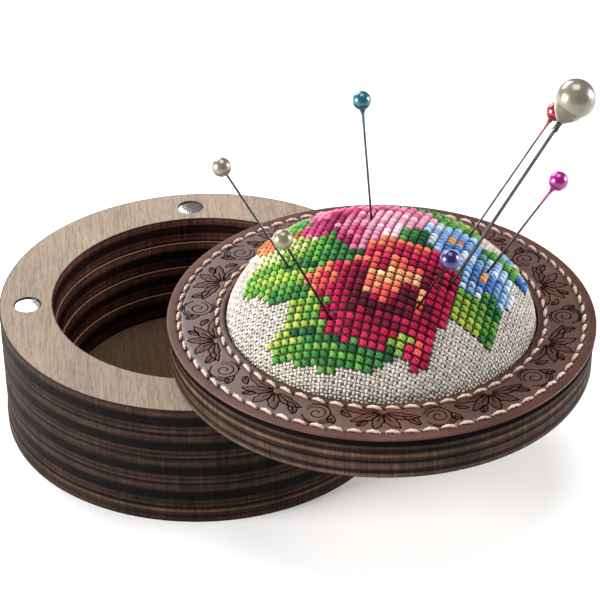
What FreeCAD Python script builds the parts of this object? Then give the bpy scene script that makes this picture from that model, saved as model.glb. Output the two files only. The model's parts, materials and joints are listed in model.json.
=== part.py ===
import FreeCAD, Part
import os
import Sketcher
from FreeCAD import Vector

# A round notions box built up from rings of laser-cut plywood, with a lid that carries a domed
# needlework pin cushion inside a tooled and stitched leather ring. Small disc magnets in the rim
# and in the lid hold the lid on. The lid is stored swung aside, turned about one pair of magnets,
# and seven pins stand in the cushion.
#
# Millimetres. The origin is the centre of the box's underside, +Z is up. The lid's own frame is
# the box's frame with the lid closed; lid_place carries it to where the lid lies swung open.

doc = FreeCAD.newDocument("pin_cushion_box")

# ---------------------------------------------------------------- driving dimensions

sheet = doc.addObject("Spreadsheet::Sheet", "dims")
next_row = 1


def dimension(name, size):
    """Put one driving dimension in the next row of the sheet, under its own name."""
    global next_row
    cell = f"A{next_row}"
    sheet.set(cell, str(size))
    sheet.setAlias(cell, name)
    next_row += 1


# box
dimension("box_radius", 45)
dimension("base_board_reach", 0.2)      # how far the base board stands out past the rings
dimension("base_board_thickness", 3.4)
dimension("ring_thickness", 6.4)
dimension("rim_width", 11.9)
dimension("bore_step", 0.6)             # each ring's bore is this much smaller than the one above
# magnets
dimension("magnet_radius", 3)
dimension("magnet_thickness", 2)
dimension("magnet_clearance", 0.1)
dimension("magnet_recess", 0.3)
dimension("magnet_inset", 6.35)         # from the box's outside to a magnet's centre
# lid
dimension("lid_gap", 0.05)
dimension("lid_swing", 72.25)           # degrees open about the front pair of magnets
dimension("lid_board_thickness", 4.05)
dimension("lid_ring_thickness", 4.1)
dimension("lid_rim_width", 11.3)
dimension("leather_thickness", 1.5)
dimension("leather_reach", 0.45)        # how far the leather stands out past the wooden lid
# stitching
dimension("thread_width", 0.9)
dimension("thread_rise", 0.35)
dimension("outer_stitch_inset", 2.55)
dimension("inner_stitch_inset", 1.6)
# cushion
dimension("cushion_gap", 0.3)
dimension("cushion_roll_radius", 18.25)
dimension("cushion_belly_height", 0.6)  # of its widest place, above the lid board
dimension("crown_height", 19.4)         # of its top, above the leather
dimension("cover_thickness", 0.8)
dimension("cover_turn_in", 17.4)        # how far the cover is gathered in underneath
dimension("cushion_board_margin", 2.4)   # from the cushion's widest place in to the board's edge
dimension("cushion_board_thickness", 2)
dimension("gather_thread_radius", 0.35)
dimension("leather_fit", 0.1)
# pins
dimension("pin_radius", 0.25)
dimension("pin_tip_length", 3)
dimension("pin_clearance", 0.06)
dimension("pin_hole_depth", 21)
dimension("pin_hole_floor", 0.4)        # wadding left above the cushion board
dimension("head_radius", 2)
dimension("head_seat_depth", 1.2)       # how far a shaft reaches past its head's centre
dimension("neck_length", 4.6)
dimension("neck_root_radius", 0.5)
dimension("neck_skin", 0.08)
dimension("drop_shaft_radius", 0.36)
dimension("drop_radius", 3.9)
dimension("drop_tail_length", 5.9)      # from the middle of its round end to its tail
dimension("drop_tail_radius", 1.5)
dimension("collar_radius", 0.62)
dimension("collar_length", 2.2)

# Each pin: where it goes in (reach from the cushion's centre and bearing round it), how it leans
# (from upright, and towards which bearing), how much shows from the cloth to the middle of its
# head, and how much is hidden in the wadding. Bearings are in the lid's frame, in degrees.
PINS = {
    "white_pearl": dict(reach=19.8, bearing=-98, lean=30.6, lean_bearing=-121.5, shown=27, hidden=11),
    "cream_pearl": dict(reach=23.2, bearing=-52, lean=28, lean_bearing=-70.5, shown=27, hidden=10),
    "teal": dict(reach=7.8, bearing=170.5, lean=11, lean_bearing=182, shown=26, hidden=12),
    "red": dict(reach=19.8, bearing=87, lean=31.8, lean_bearing=77, shown=33, hidden=7),
    "drop_pearl": dict(reach=18.8, bearing=19.5, lean=26.9, lean_bearing=56, shown=50.6, hidden=9),
    "magenta": dict(reach=22, bearing=52.5, lean=30, lean_bearing=55.5, shown=27, hidden=10),
    "violet": dict(reach=20.5, bearing=-5.5, lean=36.8, lean_bearing=-4, shown=25, hidden=12),
}
NECKED = ("teal", "red", "magenta")
for pin, sizes in PINS.items():
    for size, number in sizes.items():
        dimension(f"{pin}_{size}", number)
doc.recompute()

# ---------------------------------------------------------------- sizes worked out from them

mouth_radius = "(dims.box_radius - dims.rim_width)"
box_height = "(dims.base_board_thickness + 4 * dims.ring_thickness)"
magnet_circle = "(dims.box_radius - dims.magnet_inset)"
pocket_radius = "(dims.magnet_radius + dims.magnet_clearance)"
pocket_depth = "(dims.magnet_thickness + dims.magnet_recess)"
lid_bottom = f"({box_height} + dims.lid_gap)"
board_top = f"({lid_bottom} + dims.lid_board_thickness)"
leather_bottom = f"({board_top} + dims.lid_ring_thickness)"
leather_top = f"({leather_bottom} + dims.leather_thickness)"
lid_bore = "(dims.box_radius - dims.lid_rim_width)"
leather_radius = "(dims.box_radius + dims.leather_reach)"

# The cushion's outline is two arcs that run into each other: a roll at the edge and a flatter
# crown over the top. The crown's radius is the one that meets the roll without a corner.
belly_radius = f"({lid_bore} - dims.cushion_gap)"
roll_centre = f"({belly_radius} - dims.cushion_roll_radius)"
belly_z = f"({board_top} + dims.cushion_belly_height)"
crown_rise = f"({leather_top} + dims.crown_height - {belly_z})"
crown_radius = (
    f"(({roll_centre} ^ 2 + {crown_rise} ^ 2 - dims.cushion_roll_radius ^ 2)"
    f" / (2 * ({crown_rise} - dims.cushion_roll_radius)))"
)
crown_centre_z = f"({belly_z} + {crown_rise} - {crown_radius})"
leather_bore = (
    f"({roll_centre} + sqrt(dims.cushion_roll_radius ^ 2 - ({leather_bottom} - {belly_z}) ^ 2)"
    " + dims.leather_fit)"
)
cushion_board_radius = f"({belly_radius} - dims.cushion_board_margin)"
cushion_board_z = f"({board_top} + dims.cover_thickness)"
wadding_z = f"({cushion_board_z} + dims.cushion_board_thickness)"


def size_of(expression):
    """The number that an expression in the sheet's names comes to now."""
    return float(sheet.evalExpression(expression))


# ---------------------------------------------------------------- placements


def place(x="0", y="0", z="0", yaw="0", pitch="0"):
    """A placement expression: tip by pitch towards +X, turn by yaw about +Z, then move."""
    spot = f"create(<<vector>>; {x}; {y}; {z})"
    return f"create(<<placement>>; {spot}; create(<<rotation>>; {yaw}; {pitch}; 0))"


lid_place = place(
    f"{magnet_circle} * sin(dims.lid_swing)",
    f"{magnet_circle} * (cos(dims.lid_swing) - 1)",
    yaw="-dims.lid_swing",
)


def pin_place(pin):
    """A pin's own frame in the lid's: origin where it meets the cloth, +Z up its shaft."""
    reach = f"dims.{pin}_reach"
    return place(
        f"{reach} * cos(dims.{pin}_bearing)",
        f"{reach} * sin(dims.{pin}_bearing)",
        f"{crown_centre_z} + sqrt({crown_radius} ^ 2 - {reach} ^ 2)",
        yaw=f"dims.{pin}_lean_bearing",
        pitch=f"dims.{pin}_lean",
    )


# ---------------------------------------------------------------- feature helpers


def origin_plane(body, role):
    return next(plane for plane in body.Origin.OriginFeatures if plane.Role == role)


def new_body(label):
    body = doc.addObject("PartDesign::Body", label)
    body.Label = label
    return body


def new_sketch(body, name, role="XY_Plane", height=None):
    sketch = body.newObject("Sketcher::SketchObject", name)
    sketch.AttachmentSupport = [(origin_plane(body, role), "")]
    sketch.MapMode = "FlatFace"
    if height:
        sketch.setExpression("AttachmentOffset.Base.z", height)
    return sketch


def bind(sketch, kind, items, name, expression):
    """Add a driving constraint to a sketch and tie it to an expression."""
    index = sketch.addConstraint(Sketcher.Constraint(kind, *items, size_of(expression)))
    sketch.renameConstraint(index, name)
    sketch.setExpression(f"Constraints.{name}", expression)


def centred_circle(sketch, name, radius):
    edge = sketch.addGeometry(Part.Circle(Vector(), Vector(0, 0, 1), size_of(radius)))
    sketch.addConstraint(Sketcher.Constraint("Coincident", edge, 3, -1, 1))
    bind(sketch, "Radius", (edge,), name, radius)


def pad(body, sketch, length):
    feature = body.newObject("PartDesign::Pad", "pad")
    feature.Profile = sketch
    feature.setExpression("Length", length)
    return feature


def disc(label, radius, thickness, bore=None):
    """A flat round board, or a flat ring if it has a bore, standing on its own XY plane."""
    body = new_body(label)
    outline = new_sketch(body, "outline")
    centred_circle(outline, "outer", radius)
    if bore:
        centred_circle(outline, "bore", bore)
    pad(body, outline, thickness)
    return body


def magnet_pockets(body, height, reversed_cut):
    """Cut four round magnet pockets into a face of the body, a quarter turn apart."""
    doc.recompute()
    volume_before = body.Shape.Volume
    mouth = new_sketch(body, "pocket_mouth", height=height)
    edge = mouth.addGeometry(Part.Circle(
        Vector(0, -size_of(magnet_circle)), Vector(0, 0, 1), size_of(pocket_radius)))
    mouth.addConstraint(Sketcher.Constraint("PointOnObject", edge, 3, -2))
    bind(mouth, "DistanceY", (edge, 3, -1, 1), "circle", magnet_circle)
    bind(mouth, "Radius", (edge,), "pocket", pocket_radius)
    pocket = body.newObject("PartDesign::Pocket", "pocket")
    pocket.Profile = mouth
    pocket.Reversed = reversed_cut
    pocket.setExpression("Length", pocket_depth)
    pattern = body.newObject("PartDesign::PolarPattern", "pockets")
    pattern.Originals = [pocket]
    pattern.Axis = (mouth, ["N_Axis"])
    pattern.Angle = 360
    pattern.Occurrences = 4
    body.Tip = pattern
    doc.recompute()
    one_pocket = 3.14159 * size_of(pocket_radius) ** 2 * size_of(pocket_depth)
    removed = volume_before - body.Shape.Volume
    if abs(removed - 4 * one_pocket) > 0.01 * one_pocket:
        raise ValueError(f"{body.Label}: the magnet pockets removed {removed:.1f} mm3")


def finish(item, label, placement):
    """Name a finished sub-part and put it in its place."""
    item.Label = label
    item.setExpression("Placement", placement)
    nodes.append(item)


def primitive(kind, name, placement=None, **sizes):
    item = doc.addObject(f"Part::{kind}", name)
    for size, expression in sizes.items():
        item.setExpression(size, expression)
    if placement:
        item.setExpression("Placement", placement)
    return item


def fuse(name, shapes):
    item = doc.addObject("Part::MultiFuse", name)
    item.Shapes = shapes
    return item


def cut(name, base, tool):
    item = doc.addObject("Part::Cut", name)
    item.Base = base
    item.Tool = tool
    return item


nodes = []

# ---------------------------------------------------------------- box

base_board = disc("base_board", "dims.box_radius + dims.base_board_reach",
                  "dims.base_board_thickness")
finish(base_board, "base_board", place())

for level in range(1, 5):
    ring = disc(f"base_ring_{level}", "dims.box_radius", "dims.ring_thickness",
                bore=f"{mouth_radius} - {4 - level} * dims.bore_step")
    if level == 4:
        magnet_pockets(ring, "dims.ring_thickness", reversed_cut=False)
    ring_z = f"dims.base_board_thickness + {level - 1} * dims.ring_thickness"
    finish(ring, f"base_ring_{level}", place(z=ring_z))

# ---------------------------------------------------------------- magnets

SIDES = {"front": -90, "right": 0, "back": 90, "left": 180}


def magnet(label, bearing, z, carrier):
    body = disc(label, "dims.magnet_radius", "dims.magnet_thickness")
    spot = place(f"{magnet_circle} * cos({bearing})", f"{magnet_circle} * sin({bearing})", z)
    finish(body, label, f"{carrier} * {spot}")


for side, bearing in SIDES.items():
    magnet(f"base_magnet_{side}", bearing, f"{box_height} - {pocket_depth}", place())

# The lid turns about its front magnet, so that one clears the end of its pocket by the lid's gap.
for side, bearing in SIDES.items():
    sunk = "dims.lid_gap" if side == "front" else "0"
    magnet(f"lid_magnet_{side}", bearing, f"{lid_bottom} + dims.magnet_recess - {sunk}", lid_place)

# ---------------------------------------------------------------- lid

lid_board = disc("lid_board", "dims.box_radius", "dims.lid_board_thickness")
magnet_pockets(lid_board, "0", reversed_cut=True)
finish(lid_board, "lid_board", f"{lid_place} * {place(z=lid_bottom)}")

lid_ring = disc("lid_ring", "dims.box_radius", "dims.lid_ring_thickness", bore=lid_bore)
finish(lid_ring, "lid_ring", f"{lid_place} * {place(z=board_top)}")

leather_ring = disc("leather_ring", leather_radius, "dims.leather_thickness", bore=leather_bore)
finish(leather_ring, "leather_ring", f"{lid_place} * {place(z=leather_bottom)}")

STITCHING = {
    "outer_stitching": f"({leather_radius} - dims.outer_stitch_inset)",
    "inner_stitching": f"({leather_bore} + dims.inner_stitch_inset)",
}
for label, seam in STITCHING.items():
    thread = disc(label, f"{seam} + dims.thread_width / 2", "dims.thread_rise",
                  bore=f"{seam} - dims.thread_width / 2")
    finish(thread, label, f"{lid_place} * {place(z=leather_top)}")

# ---------------------------------------------------------------- cushion

cushion_board = disc("cushion_board", cushion_board_radius, "dims.cushion_board_thickness")
finish(cushion_board, "cushion_board", f"{lid_place} * {place(z=cushion_board_z)}")


def corner(reach, z):
    return Vector(size_of(reach), size_of(z), 0)


def dome_arcs(sketch, tag, inset, foot_z):
    """Draw the roll and the crown of one skin of the dome, from its foot up to its top.

    The two arcs stay tangent. The roll's centre height and radius, the crown's centre and the
    foot's height are tied to the sheet, and inset is how far inside the cloth's face they lie.
    """
    roll = f"dims.cushion_roll_radius - {inset}"
    crown = f"{crown_radius} - {inset}"
    roll_middle = corner(roll_centre, belly_z)
    crown_middle = corner("0", crown_centre_z)
    away = roll_middle - crown_middle
    meeting = crown_middle + away.normalize() * size_of(crown)
    drop = size_of(foot_z) - roll_middle.y
    foot = Vector(roll_middle.x + (size_of(roll) ** 2 - drop ** 2) ** 0.5, size_of(foot_z), 0)
    side = (foot + meeting - roll_middle * 2).normalize() * size_of(roll) + roll_middle
    top = crown_middle + Vector(0, size_of(crown), 0)
    shoulder = (meeting + top - crown_middle * 2).normalize() * size_of(crown) + crown_middle
    roll_edge = sketch.addGeometry(Part.Arc(foot, side, meeting))
    crown_edge = sketch.addGeometry(Part.Arc(meeting, shoulder, top))
    sketch.addConstraint(Sketcher.Constraint("Tangent", roll_edge, 2, crown_edge, 1))
    sketch.addConstraint(Sketcher.Constraint("PointOnObject", crown_edge, 3, -2))
    sketch.addConstraint(Sketcher.Constraint("PointOnObject", crown_edge, 2, -2))
    bind(sketch, "Radius", (roll_edge,), f"{tag}_roll", roll)
    bind(sketch, "DistanceY", (-1, 1, roll_edge, 3), f"{tag}_roll_z", belly_z)
    bind(sketch, "DistanceX", (-1, 1, roll_edge, 3), f"{tag}_roll_x", roll_centre)
    bind(sketch, "DistanceY", (-1, 1, crown_edge, 3), f"{tag}_crown_z", crown_centre_z)
    bind(sketch, "DistanceY", (-1, 1, roll_edge, 1), f"{tag}_foot_z", foot_z)
    return roll_edge, crown_edge, foot, top


def line_between(sketch, start, end, first=None, last=None, direction=None):
    """Draw a straight edge, join its ends to those of other edges, and keep it level or upright."""
    edge = sketch.addGeometry(Part.LineSegment(start, end))
    if first:
        sketch.addConstraint(Sketcher.Constraint("Coincident", *first, edge, 1))
    if last:
        sketch.addConstraint(Sketcher.Constraint("Coincident", edge, 2, *last))
    if direction:
        sketch.addConstraint(Sketcher.Constraint(direction, edge))
    return edge


def revolve(body, sketch):
    feature = body.newObject("PartDesign::Revolution", "turned")
    feature.Profile = sketch
    feature.ReferenceAxis = (sketch, ["V_Axis"])
    feature.Angle = 360
    return feature


# cover: cloth over the dome, turned in under the cushion board
cover_blank = new_body("cover_blank")
profile = new_sketch(cover_blank, "cover_profile", "XZ_Plane")
roll_out, crown_out, foot_out, top_out = dome_arcs(profile, "face", "0", board_top)
roll_in, crown_in, foot_in, top_in = dome_arcs(profile, "lining", "dims.cover_thickness",
                                               cushion_board_z)
hem_reach = f"({belly_radius} - dims.cover_turn_in)"
hem_low = corner(hem_reach, board_top)
hem_high = corner(hem_reach, cushion_board_z)
under = line_between(profile, foot_out, hem_low, (roll_out, 1), None, "Horizontal")
hem = line_between(profile, hem_low, hem_high, (under, 2), None, "Vertical")
inner = line_between(profile, hem_high, foot_in, (hem, 2), (roll_in, 1), "Horizontal")
line_between(profile, top_in, top_out, (crown_in, 2), (crown_out, 2))
bind(profile, "DistanceX", (-1, 1, hem, 1), "hem_reach", hem_reach)
revolve(cover_blank, profile)

# filling: wadding packed between the cover and the board, which it wraps round
filling_blank = new_body("filling_blank")
profile = new_sketch(filling_blank, "filling_profile", "XZ_Plane")
roll_in, crown_in, foot_in, top_in = dome_arcs(profile, "lining", "dims.cover_thickness",
                                               cushion_board_z)
board_low = corner(cushion_board_radius, cushion_board_z)
board_high = corner(cushion_board_radius, wadding_z)
middle = corner("0", wadding_z)
lip = line_between(profile, foot_in, board_low, (roll_in, 1), None, "Horizontal")
side = line_between(profile, board_low, board_high, (lip, 2), None, "Vertical")
floor = line_between(profile, board_high, middle, (side, 2), None, "Horizontal")
axis = line_between(profile, middle, top_in, (floor, 2), (crown_in, 2))
profile.addConstraint(Sketcher.Constraint("PointOnObject", axis, 1, -2))
bind(profile, "DistanceX", (-1, 1, side, 1), "board_reach", cushion_board_radius)
bind(profile, "DistanceY", (-1, 1, side, 2), "board_top", wadding_z)
revolve(filling_blank, profile)

thread_ring = f"({hem_reach} - dims.gather_thread_radius)"
gathering = primitive("Torus", "gathering", Radius1=thread_ring,
                      Radius2="dims.gather_thread_radius")
finish(gathering, "gathering_thread",
       f"{lid_place} * {place(z=f'{board_top} + dims.cover_thickness / 2')}")

# ---------------------------------------------------------------- pins


def shaft_radius(pin):
    return "dims.drop_shaft_radius" if pin == "drop_pearl" else "dims.pin_radius"


def pin_shaft(pin):
    """A round wire with a tapered point. Its +Z end sits inside the head."""
    radius = shaft_radius(pin)
    hidden = f"dims.{pin}_hidden"
    wire_length = f"dims.{pin}_shown + {hidden} - dims.pin_tip_length + dims.head_seat_depth"
    wire = primitive("Cylinder", f"{pin}_wire", place(z=f"dims.pin_tip_length - {hidden}"),
                     Radius=radius, Height=wire_length)
    point = primitive("Cone", f"{pin}_point", place(z=f"-{hidden}"),
                      Radius1=f"{radius} / 8", Radius2=radius, Height="dims.pin_tip_length")
    shaft = fuse(f"{pin}_shaft", [wire, point])
    finish(shaft, f"{pin}_pin_shaft", f"{lid_place} * {pin_place(pin)}")


def shaft_socket(pin, foot):
    """The hole that a head has for its shaft, from below its foot up to the shaft's end."""
    return primitive("Cylinder", f"{pin}_socket", place(z=f"dims.{pin}_shown - {foot} - 1"),
                     Radius=shaft_radius(pin), Height=f"{foot} + 1 + dims.head_seat_depth")


def ball_head(pin):
    middle = f"dims.{pin}_shown"
    ball = primitive("Sphere", f"{pin}_ball", place(z=middle), Radius="dims.head_radius")
    foot = "dims.head_radius"
    if pin in NECKED:
        foot = "(dims.head_radius + dims.neck_length)"
        neck = primitive("Cone", f"{pin}_neck", place(z=f"{middle} - {foot}"),
                         Radius1="dims.pin_radius + dims.neck_skin",
                         Radius2="dims.neck_root_radius",
                         Height="dims.neck_length + 0.3 * dims.head_radius")
        ball = fuse(f"{pin}_ball_and_neck", [ball, neck])
    head = cut(f"{pin}_head", ball, shaft_socket(pin, foot))
    finish(head, f"{pin}_pin_head", f"{lid_place} * {pin_place(pin)}")


def drop_head(pin):
    """A pear-shaped bead: a ball whose underside runs straight, at a tangent, to a small tail."""
    blank = new_body(f"{pin}_bead")
    outline = new_sketch(blank, "bead_profile", "XZ_Plane")
    middle = f"dims.{pin}_shown"
    tail_z = f"({middle} - dims.drop_tail_length)"
    radius = size_of("dims.drop_radius")
    centre = corner("0", middle)
    top = centre + Vector(0, radius, 0)
    side = centre + Vector(radius, 0, 0)
    leave = centre + Vector(0.9, -0.436, 0) * radius
    tail = corner("dims.drop_tail_radius", tail_z)
    foot = corner("0", tail_z)
    ball = outline.addGeometry(Part.Arc(top, side, leave))
    flank = outline.addGeometry(Part.LineSegment(leave, tail))
    end = line_between(outline, tail, foot, (flank, 2), None, "Horizontal")
    axis = line_between(outline, foot, top, (end, 2), (ball, 2), "Vertical")
    outline.addConstraint(Sketcher.Constraint("PointOnObject", axis, 1, -2))
    outline.addConstraint(Sketcher.Constraint("PointOnObject", ball, 3, -2))
    outline.addConstraint(Sketcher.Constraint("Tangent", ball, 1, flank, 1))
    bind(outline, "Radius", (ball,), "ball", "dims.drop_radius")
    bind(outline, "DistanceY", (-1, 1, ball, 3), "middle", middle)
    bind(outline, "DistanceX", (end, 2, end, 1), "tail", "dims.drop_tail_radius")
    bind(outline, "DistanceY", (-1, 1, end, 1), "tail_z", tail_z)
    revolve(blank, outline)
    head = cut(f"{pin}_head", blank, shaft_socket(pin, "dims.drop_tail_length"))
    finish(head, f"{pin}_pin_head", f"{lid_place} * {pin_place(pin)}")

    sleeve = primitive("Cylinder", f"{pin}_sleeve", place(z=f"{tail_z} - dims.collar_length"),
                       Radius="dims.collar_radius", Height="dims.collar_length")
    bore = primitive("Cylinder", f"{pin}_sleeve_bore",
                     place(z=f"{tail_z} - dims.collar_length - 1"),
                     Radius=shaft_radius(pin), Height="dims.collar_length + 2")
    collar = cut(f"{pin}_collar", sleeve, bore)
    finish(collar, f"{pin}_pin_collar", f"{lid_place} * {pin_place(pin)}")


for pin in PINS:
    pin_shaft(pin)
    if pin == "drop_pearl":
        drop_head(pin)
    else:
        ball_head(pin)


def pin_holes(piece):
    """Where the pins pass through one piece of the cushion, as wide as they are plus clearance."""
    holes = []
    for pin in PINS:
        hole = primitive("Cylinder", f"{pin}_hole_in_{piece}",
                         f"{pin_place(pin)} * {place(z='-dims.pin_hole_depth')}",
                         Radius=f"{shaft_radius(pin)} + dims.pin_clearance",
                         Height="dims.pin_hole_depth + 5")
        holes.append(hole)
    return fuse(f"pin_holes_in_{piece}", holes)


def above_board(piece):
    """The space over the cushion board that the pins may reach."""
    floor_z = f"{wadding_z} + dims.pin_hole_floor"
    return primitive("Cylinder", f"reachable_{piece}", place(z=floor_z), Radius=lid_bore,
                     Height="2 * dims.crown_height")


def reachable_holes(piece):
    item = doc.addObject("Part::Common", f"reachable_holes_in_{piece}")
    item.Base = pin_holes(piece)
    item.Tool = above_board(piece)
    return item


cover = cut("cover", cover_blank, reachable_holes("cover"))
finish(cover, "cushion_cover", lid_place)
filling = cut("filling", filling_blank, reachable_holes("filling"))
finish(filling, "cushion_filling", lid_place)

# ---------------------------------------------------------------- check and write

doc.recompute()
for item in doc.Objects:
    if "Invalid" in item.State or "Error" in item.State:
        raise ValueError(f"{item.Name} ({item.Label}) failed: {item.State}")
for item in nodes:
    if item.Shape.isNull() or not item.Shape.isValid():
        raise ValueError(f"{item.Label} has no valid shape")
    if len(item.Shape.Solids) != 1:
        raise ValueError(f"{item.Label} is {len(item.Shape.Solids)} solids, not one")

os.makedirs("parts", exist_ok=True)
for item in nodes:
    item.Shape.exportStep(f"parts/{item.Label}.step")
    print(f"{item.Label}: {item.Shape.Volume:.1f} mm3")
print(f"{len(nodes)} sub-parts written")
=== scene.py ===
# %% [markdown]
# # A pin cushion box: plywood, leather and cross stitch
# This lesson finishes a small round notions box. The box is rings of laser-cut plywood glued in
# a stack. Its lid swings on a pair of disc magnets and carries a domed pin cushion, which is
# cross-stitched and held in a tooled, saddle-stitched leather ring. Seven pins stand in it.
# The measured model gives every place and size. Blender's job here is the finish: what each
# surface is made of, and the small shapes that only a close look shows.
#
# The first cell loads the measured model and keeps its parts, to read places and sizes from.

import json
import math
from itertools import product

import bmesh
import bpy
import numpy as np
from mathutils import Matrix, Vector


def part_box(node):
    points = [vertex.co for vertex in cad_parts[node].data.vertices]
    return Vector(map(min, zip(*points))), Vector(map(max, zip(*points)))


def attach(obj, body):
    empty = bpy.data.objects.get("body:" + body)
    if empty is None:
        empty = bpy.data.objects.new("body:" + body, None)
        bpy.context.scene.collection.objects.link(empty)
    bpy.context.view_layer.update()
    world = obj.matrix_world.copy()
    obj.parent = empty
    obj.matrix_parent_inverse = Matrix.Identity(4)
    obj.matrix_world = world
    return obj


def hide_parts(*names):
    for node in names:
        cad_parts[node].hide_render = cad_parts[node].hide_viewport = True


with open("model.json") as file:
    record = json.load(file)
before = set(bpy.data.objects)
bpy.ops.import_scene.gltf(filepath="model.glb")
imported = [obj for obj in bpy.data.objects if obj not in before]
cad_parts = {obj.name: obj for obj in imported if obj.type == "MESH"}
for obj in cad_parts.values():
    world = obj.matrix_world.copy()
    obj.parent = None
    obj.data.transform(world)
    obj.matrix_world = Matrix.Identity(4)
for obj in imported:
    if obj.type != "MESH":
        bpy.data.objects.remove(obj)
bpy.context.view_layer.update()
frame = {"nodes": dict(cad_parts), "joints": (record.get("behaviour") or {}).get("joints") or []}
MM = 0.001

# %% [markdown]
# ## Places, read from the model
# The box stands upright about Z, so two of its numbers place it: a radius and a height. The
# lid lies swung to one side. Its middle is the middle of the lid board, and its turn shows in
# the direction from there to the magnet on its right. A matrix for the lid lets every lid
# piece be built as if the lid were shut, and then put where it lies.

# %% Box and lid places
def middle(node):
    low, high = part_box(node)
    return (low + high) / 2


def span(node):
    low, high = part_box(node)
    return high - low


box_radius = span("base_ring_4").x / 2
rim_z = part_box("base_ring_4")[1].z
lid_middle = middle("lid_board")
to_right_magnet = middle("lid_magnet_right") - lid_middle
lid_turn = math.atan2(to_right_magnet.y, to_right_magnet.x)
lid_place = Matrix.Translation((lid_middle.x, lid_middle.y, 0)) @ Matrix.Rotation(lid_turn, 4, "Z")
leather_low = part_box("leather_ring")[0].z
leather_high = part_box("leather_ring")[1].z
crown_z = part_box("cushion_cover")[1].z
print(f"box radius {box_radius / MM:.1f} mm, rim at {rim_z / MM:.1f} mm")
print(f"lid turned {math.degrees(lid_turn):.2f} degrees, cushion top at {crown_z / MM:.1f} mm")

# %% [markdown]
# ## Two short hands
# A finish in Blender is a tree of nodes. The Nodes helper adds one node and sets or links its
# inputs in the same line, so a material reads from top to bottom. Its work_over lays one ramp
# over a colour, as a glaze does. The turned helper spins an outline about an axis, as a lathe
# does: most of this object is round. Each outline point can carry a colour, which becomes an
# attribute on the mesh that a material can read.

# %% Helper: nodes
class Nodes:
    """Adds nodes to a tree. An input may be a plain value or another node's output."""

    def __init__(self, tree):
        self.tree = tree
        self.shader = None

    def add(self, kind, inputs=None, **settings):
        node = self.tree.nodes.new(kind)
        for name, value in settings.items():
            setattr(node, name, value)
        for name, value in (inputs or {}).items():
            self.feed(node.inputs[name], value)
        return node

    def feed(self, socket, value):
        if isinstance(value, bpy.types.NodeSocket):
            self.tree.links.new(value, socket)
        else:
            socket.default_value = value

    def shade(self, **sockets):
        """Feed the material's shader. Underscores in the names stand for spaces."""
        for name, value in sockets.items():
            self.feed(self.shader.inputs[name.replace("_", " ")], value)

    def attribute(self, name, output="Fac"):
        return self.add("ShaderNodeAttribute", attribute_name=name).outputs[output]

    def ramp(self, factor, stops):
        """A colour ramp. A stop is a place and a colour, or one number for a grey."""
        node = self.add("ShaderNodeValToRGB", {"Fac": factor})
        elements = node.color_ramp.elements
        while len(elements) < len(stops):
            elements.new(0.5)
        for element, (position, colour) in zip(elements, stops):
            element.position = position
            element.color = (*(colour if isinstance(colour, tuple) else (colour,) * 3), 1)
        return node.outputs["Color"]

    def maths(self, operation, first, second=0.0, third=0.0):
        node = self.add("ShaderNodeMath", {0: first, 1: second, 2: third}, operation=operation)
        return node.outputs[0]

    def mix(self, factor, first, second, blend="MIX"):
        node = self.add("ShaderNodeMix", {0: factor, 6: first, 7: second},
                        data_type="RGBA", blend_type=blend)
        return node.outputs[2]

    def work_over(self, colour, factor, stops, amount=1.0):
        """Multiply a colour by a ramp."""
        return self.mix(amount, colour, self.ramp(factor, stops), "MULTIPLY")

    def noise(self, scale, stretch=(1, 1, 1), detail=3.0, roughness=0.5):
        """Noise on the piece's own coordinates, in patches per metre, stretched along axes."""
        where = self.add("ShaderNodeTexCoord").outputs["Object"]
        where = self.add("ShaderNodeMapping", {"Vector": where, "Scale": stretch}).outputs[0]
        inputs = {"Vector": where, "Scale": scale, "Detail": detail, "Roughness": roughness}
        return self.add("ShaderNodeTexNoise", inputs).outputs["Fac"]

    def bump(self, height, strength, distance, under=None):
        inputs = {"Height": height, "Strength": strength, "Distance": distance}
        if under:
            inputs["Normal"] = under
        return self.add("ShaderNodeBump", inputs).outputs["Normal"]


def new_material(name, **sockets):
    """A material with one Principled shader, and its node helper."""
    material = bpy.data.materials.new(name)
    material.use_nodes = True
    material.node_tree.nodes.clear()
    nodes = Nodes(material.node_tree)
    nodes.shader = nodes.add("ShaderNodeBsdfPrincipled")
    nodes.add("ShaderNodeOutputMaterial", {"Surface": nodes.shader.outputs[0]})
    nodes.shade(**sockets)
    return material, nodes


# %% Helper: turned pieces
def to_object(name, vertices, faces, material=None):
    mesh = bpy.data.meshes.new(name)
    mesh.from_pydata([tuple(v) for v in vertices], [], [tuple(f) for f in faces])
    mesh.update()
    piece = bpy.data.objects.new(name, mesh)
    bpy.context.scene.collection.objects.link(piece)
    if material:
        mesh.materials.append(material)
    return piece


def put_attribute(mesh, name, kind, values):
    attribute = mesh.attributes.new(name, kind, "POINT")
    field = {"FLOAT": "value", "FLOAT_VECTOR": "vector", "FLOAT_COLOR": "color"}[kind]
    attribute.data.foreach_set(field, np.asarray(values, np.float32).ravel())


def tidy_mesh(piece, merge=1e-6, smooth_below=35):
    """Merge doubles, point all faces outwards, and smooth across gentle edges."""
    shape = bmesh.new()
    shape.from_mesh(piece.data)
    bmesh.ops.remove_doubles(shape, verts=shape.verts, dist=merge)
    bmesh.ops.recalc_face_normals(shape, faces=shape.faces)
    shape.to_mesh(piece.data)
    shape.free()
    piece.data.shade_smooth()
    piece.data.set_sharp_from_angle(angle=math.radians(smooth_below))
    return piece


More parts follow.
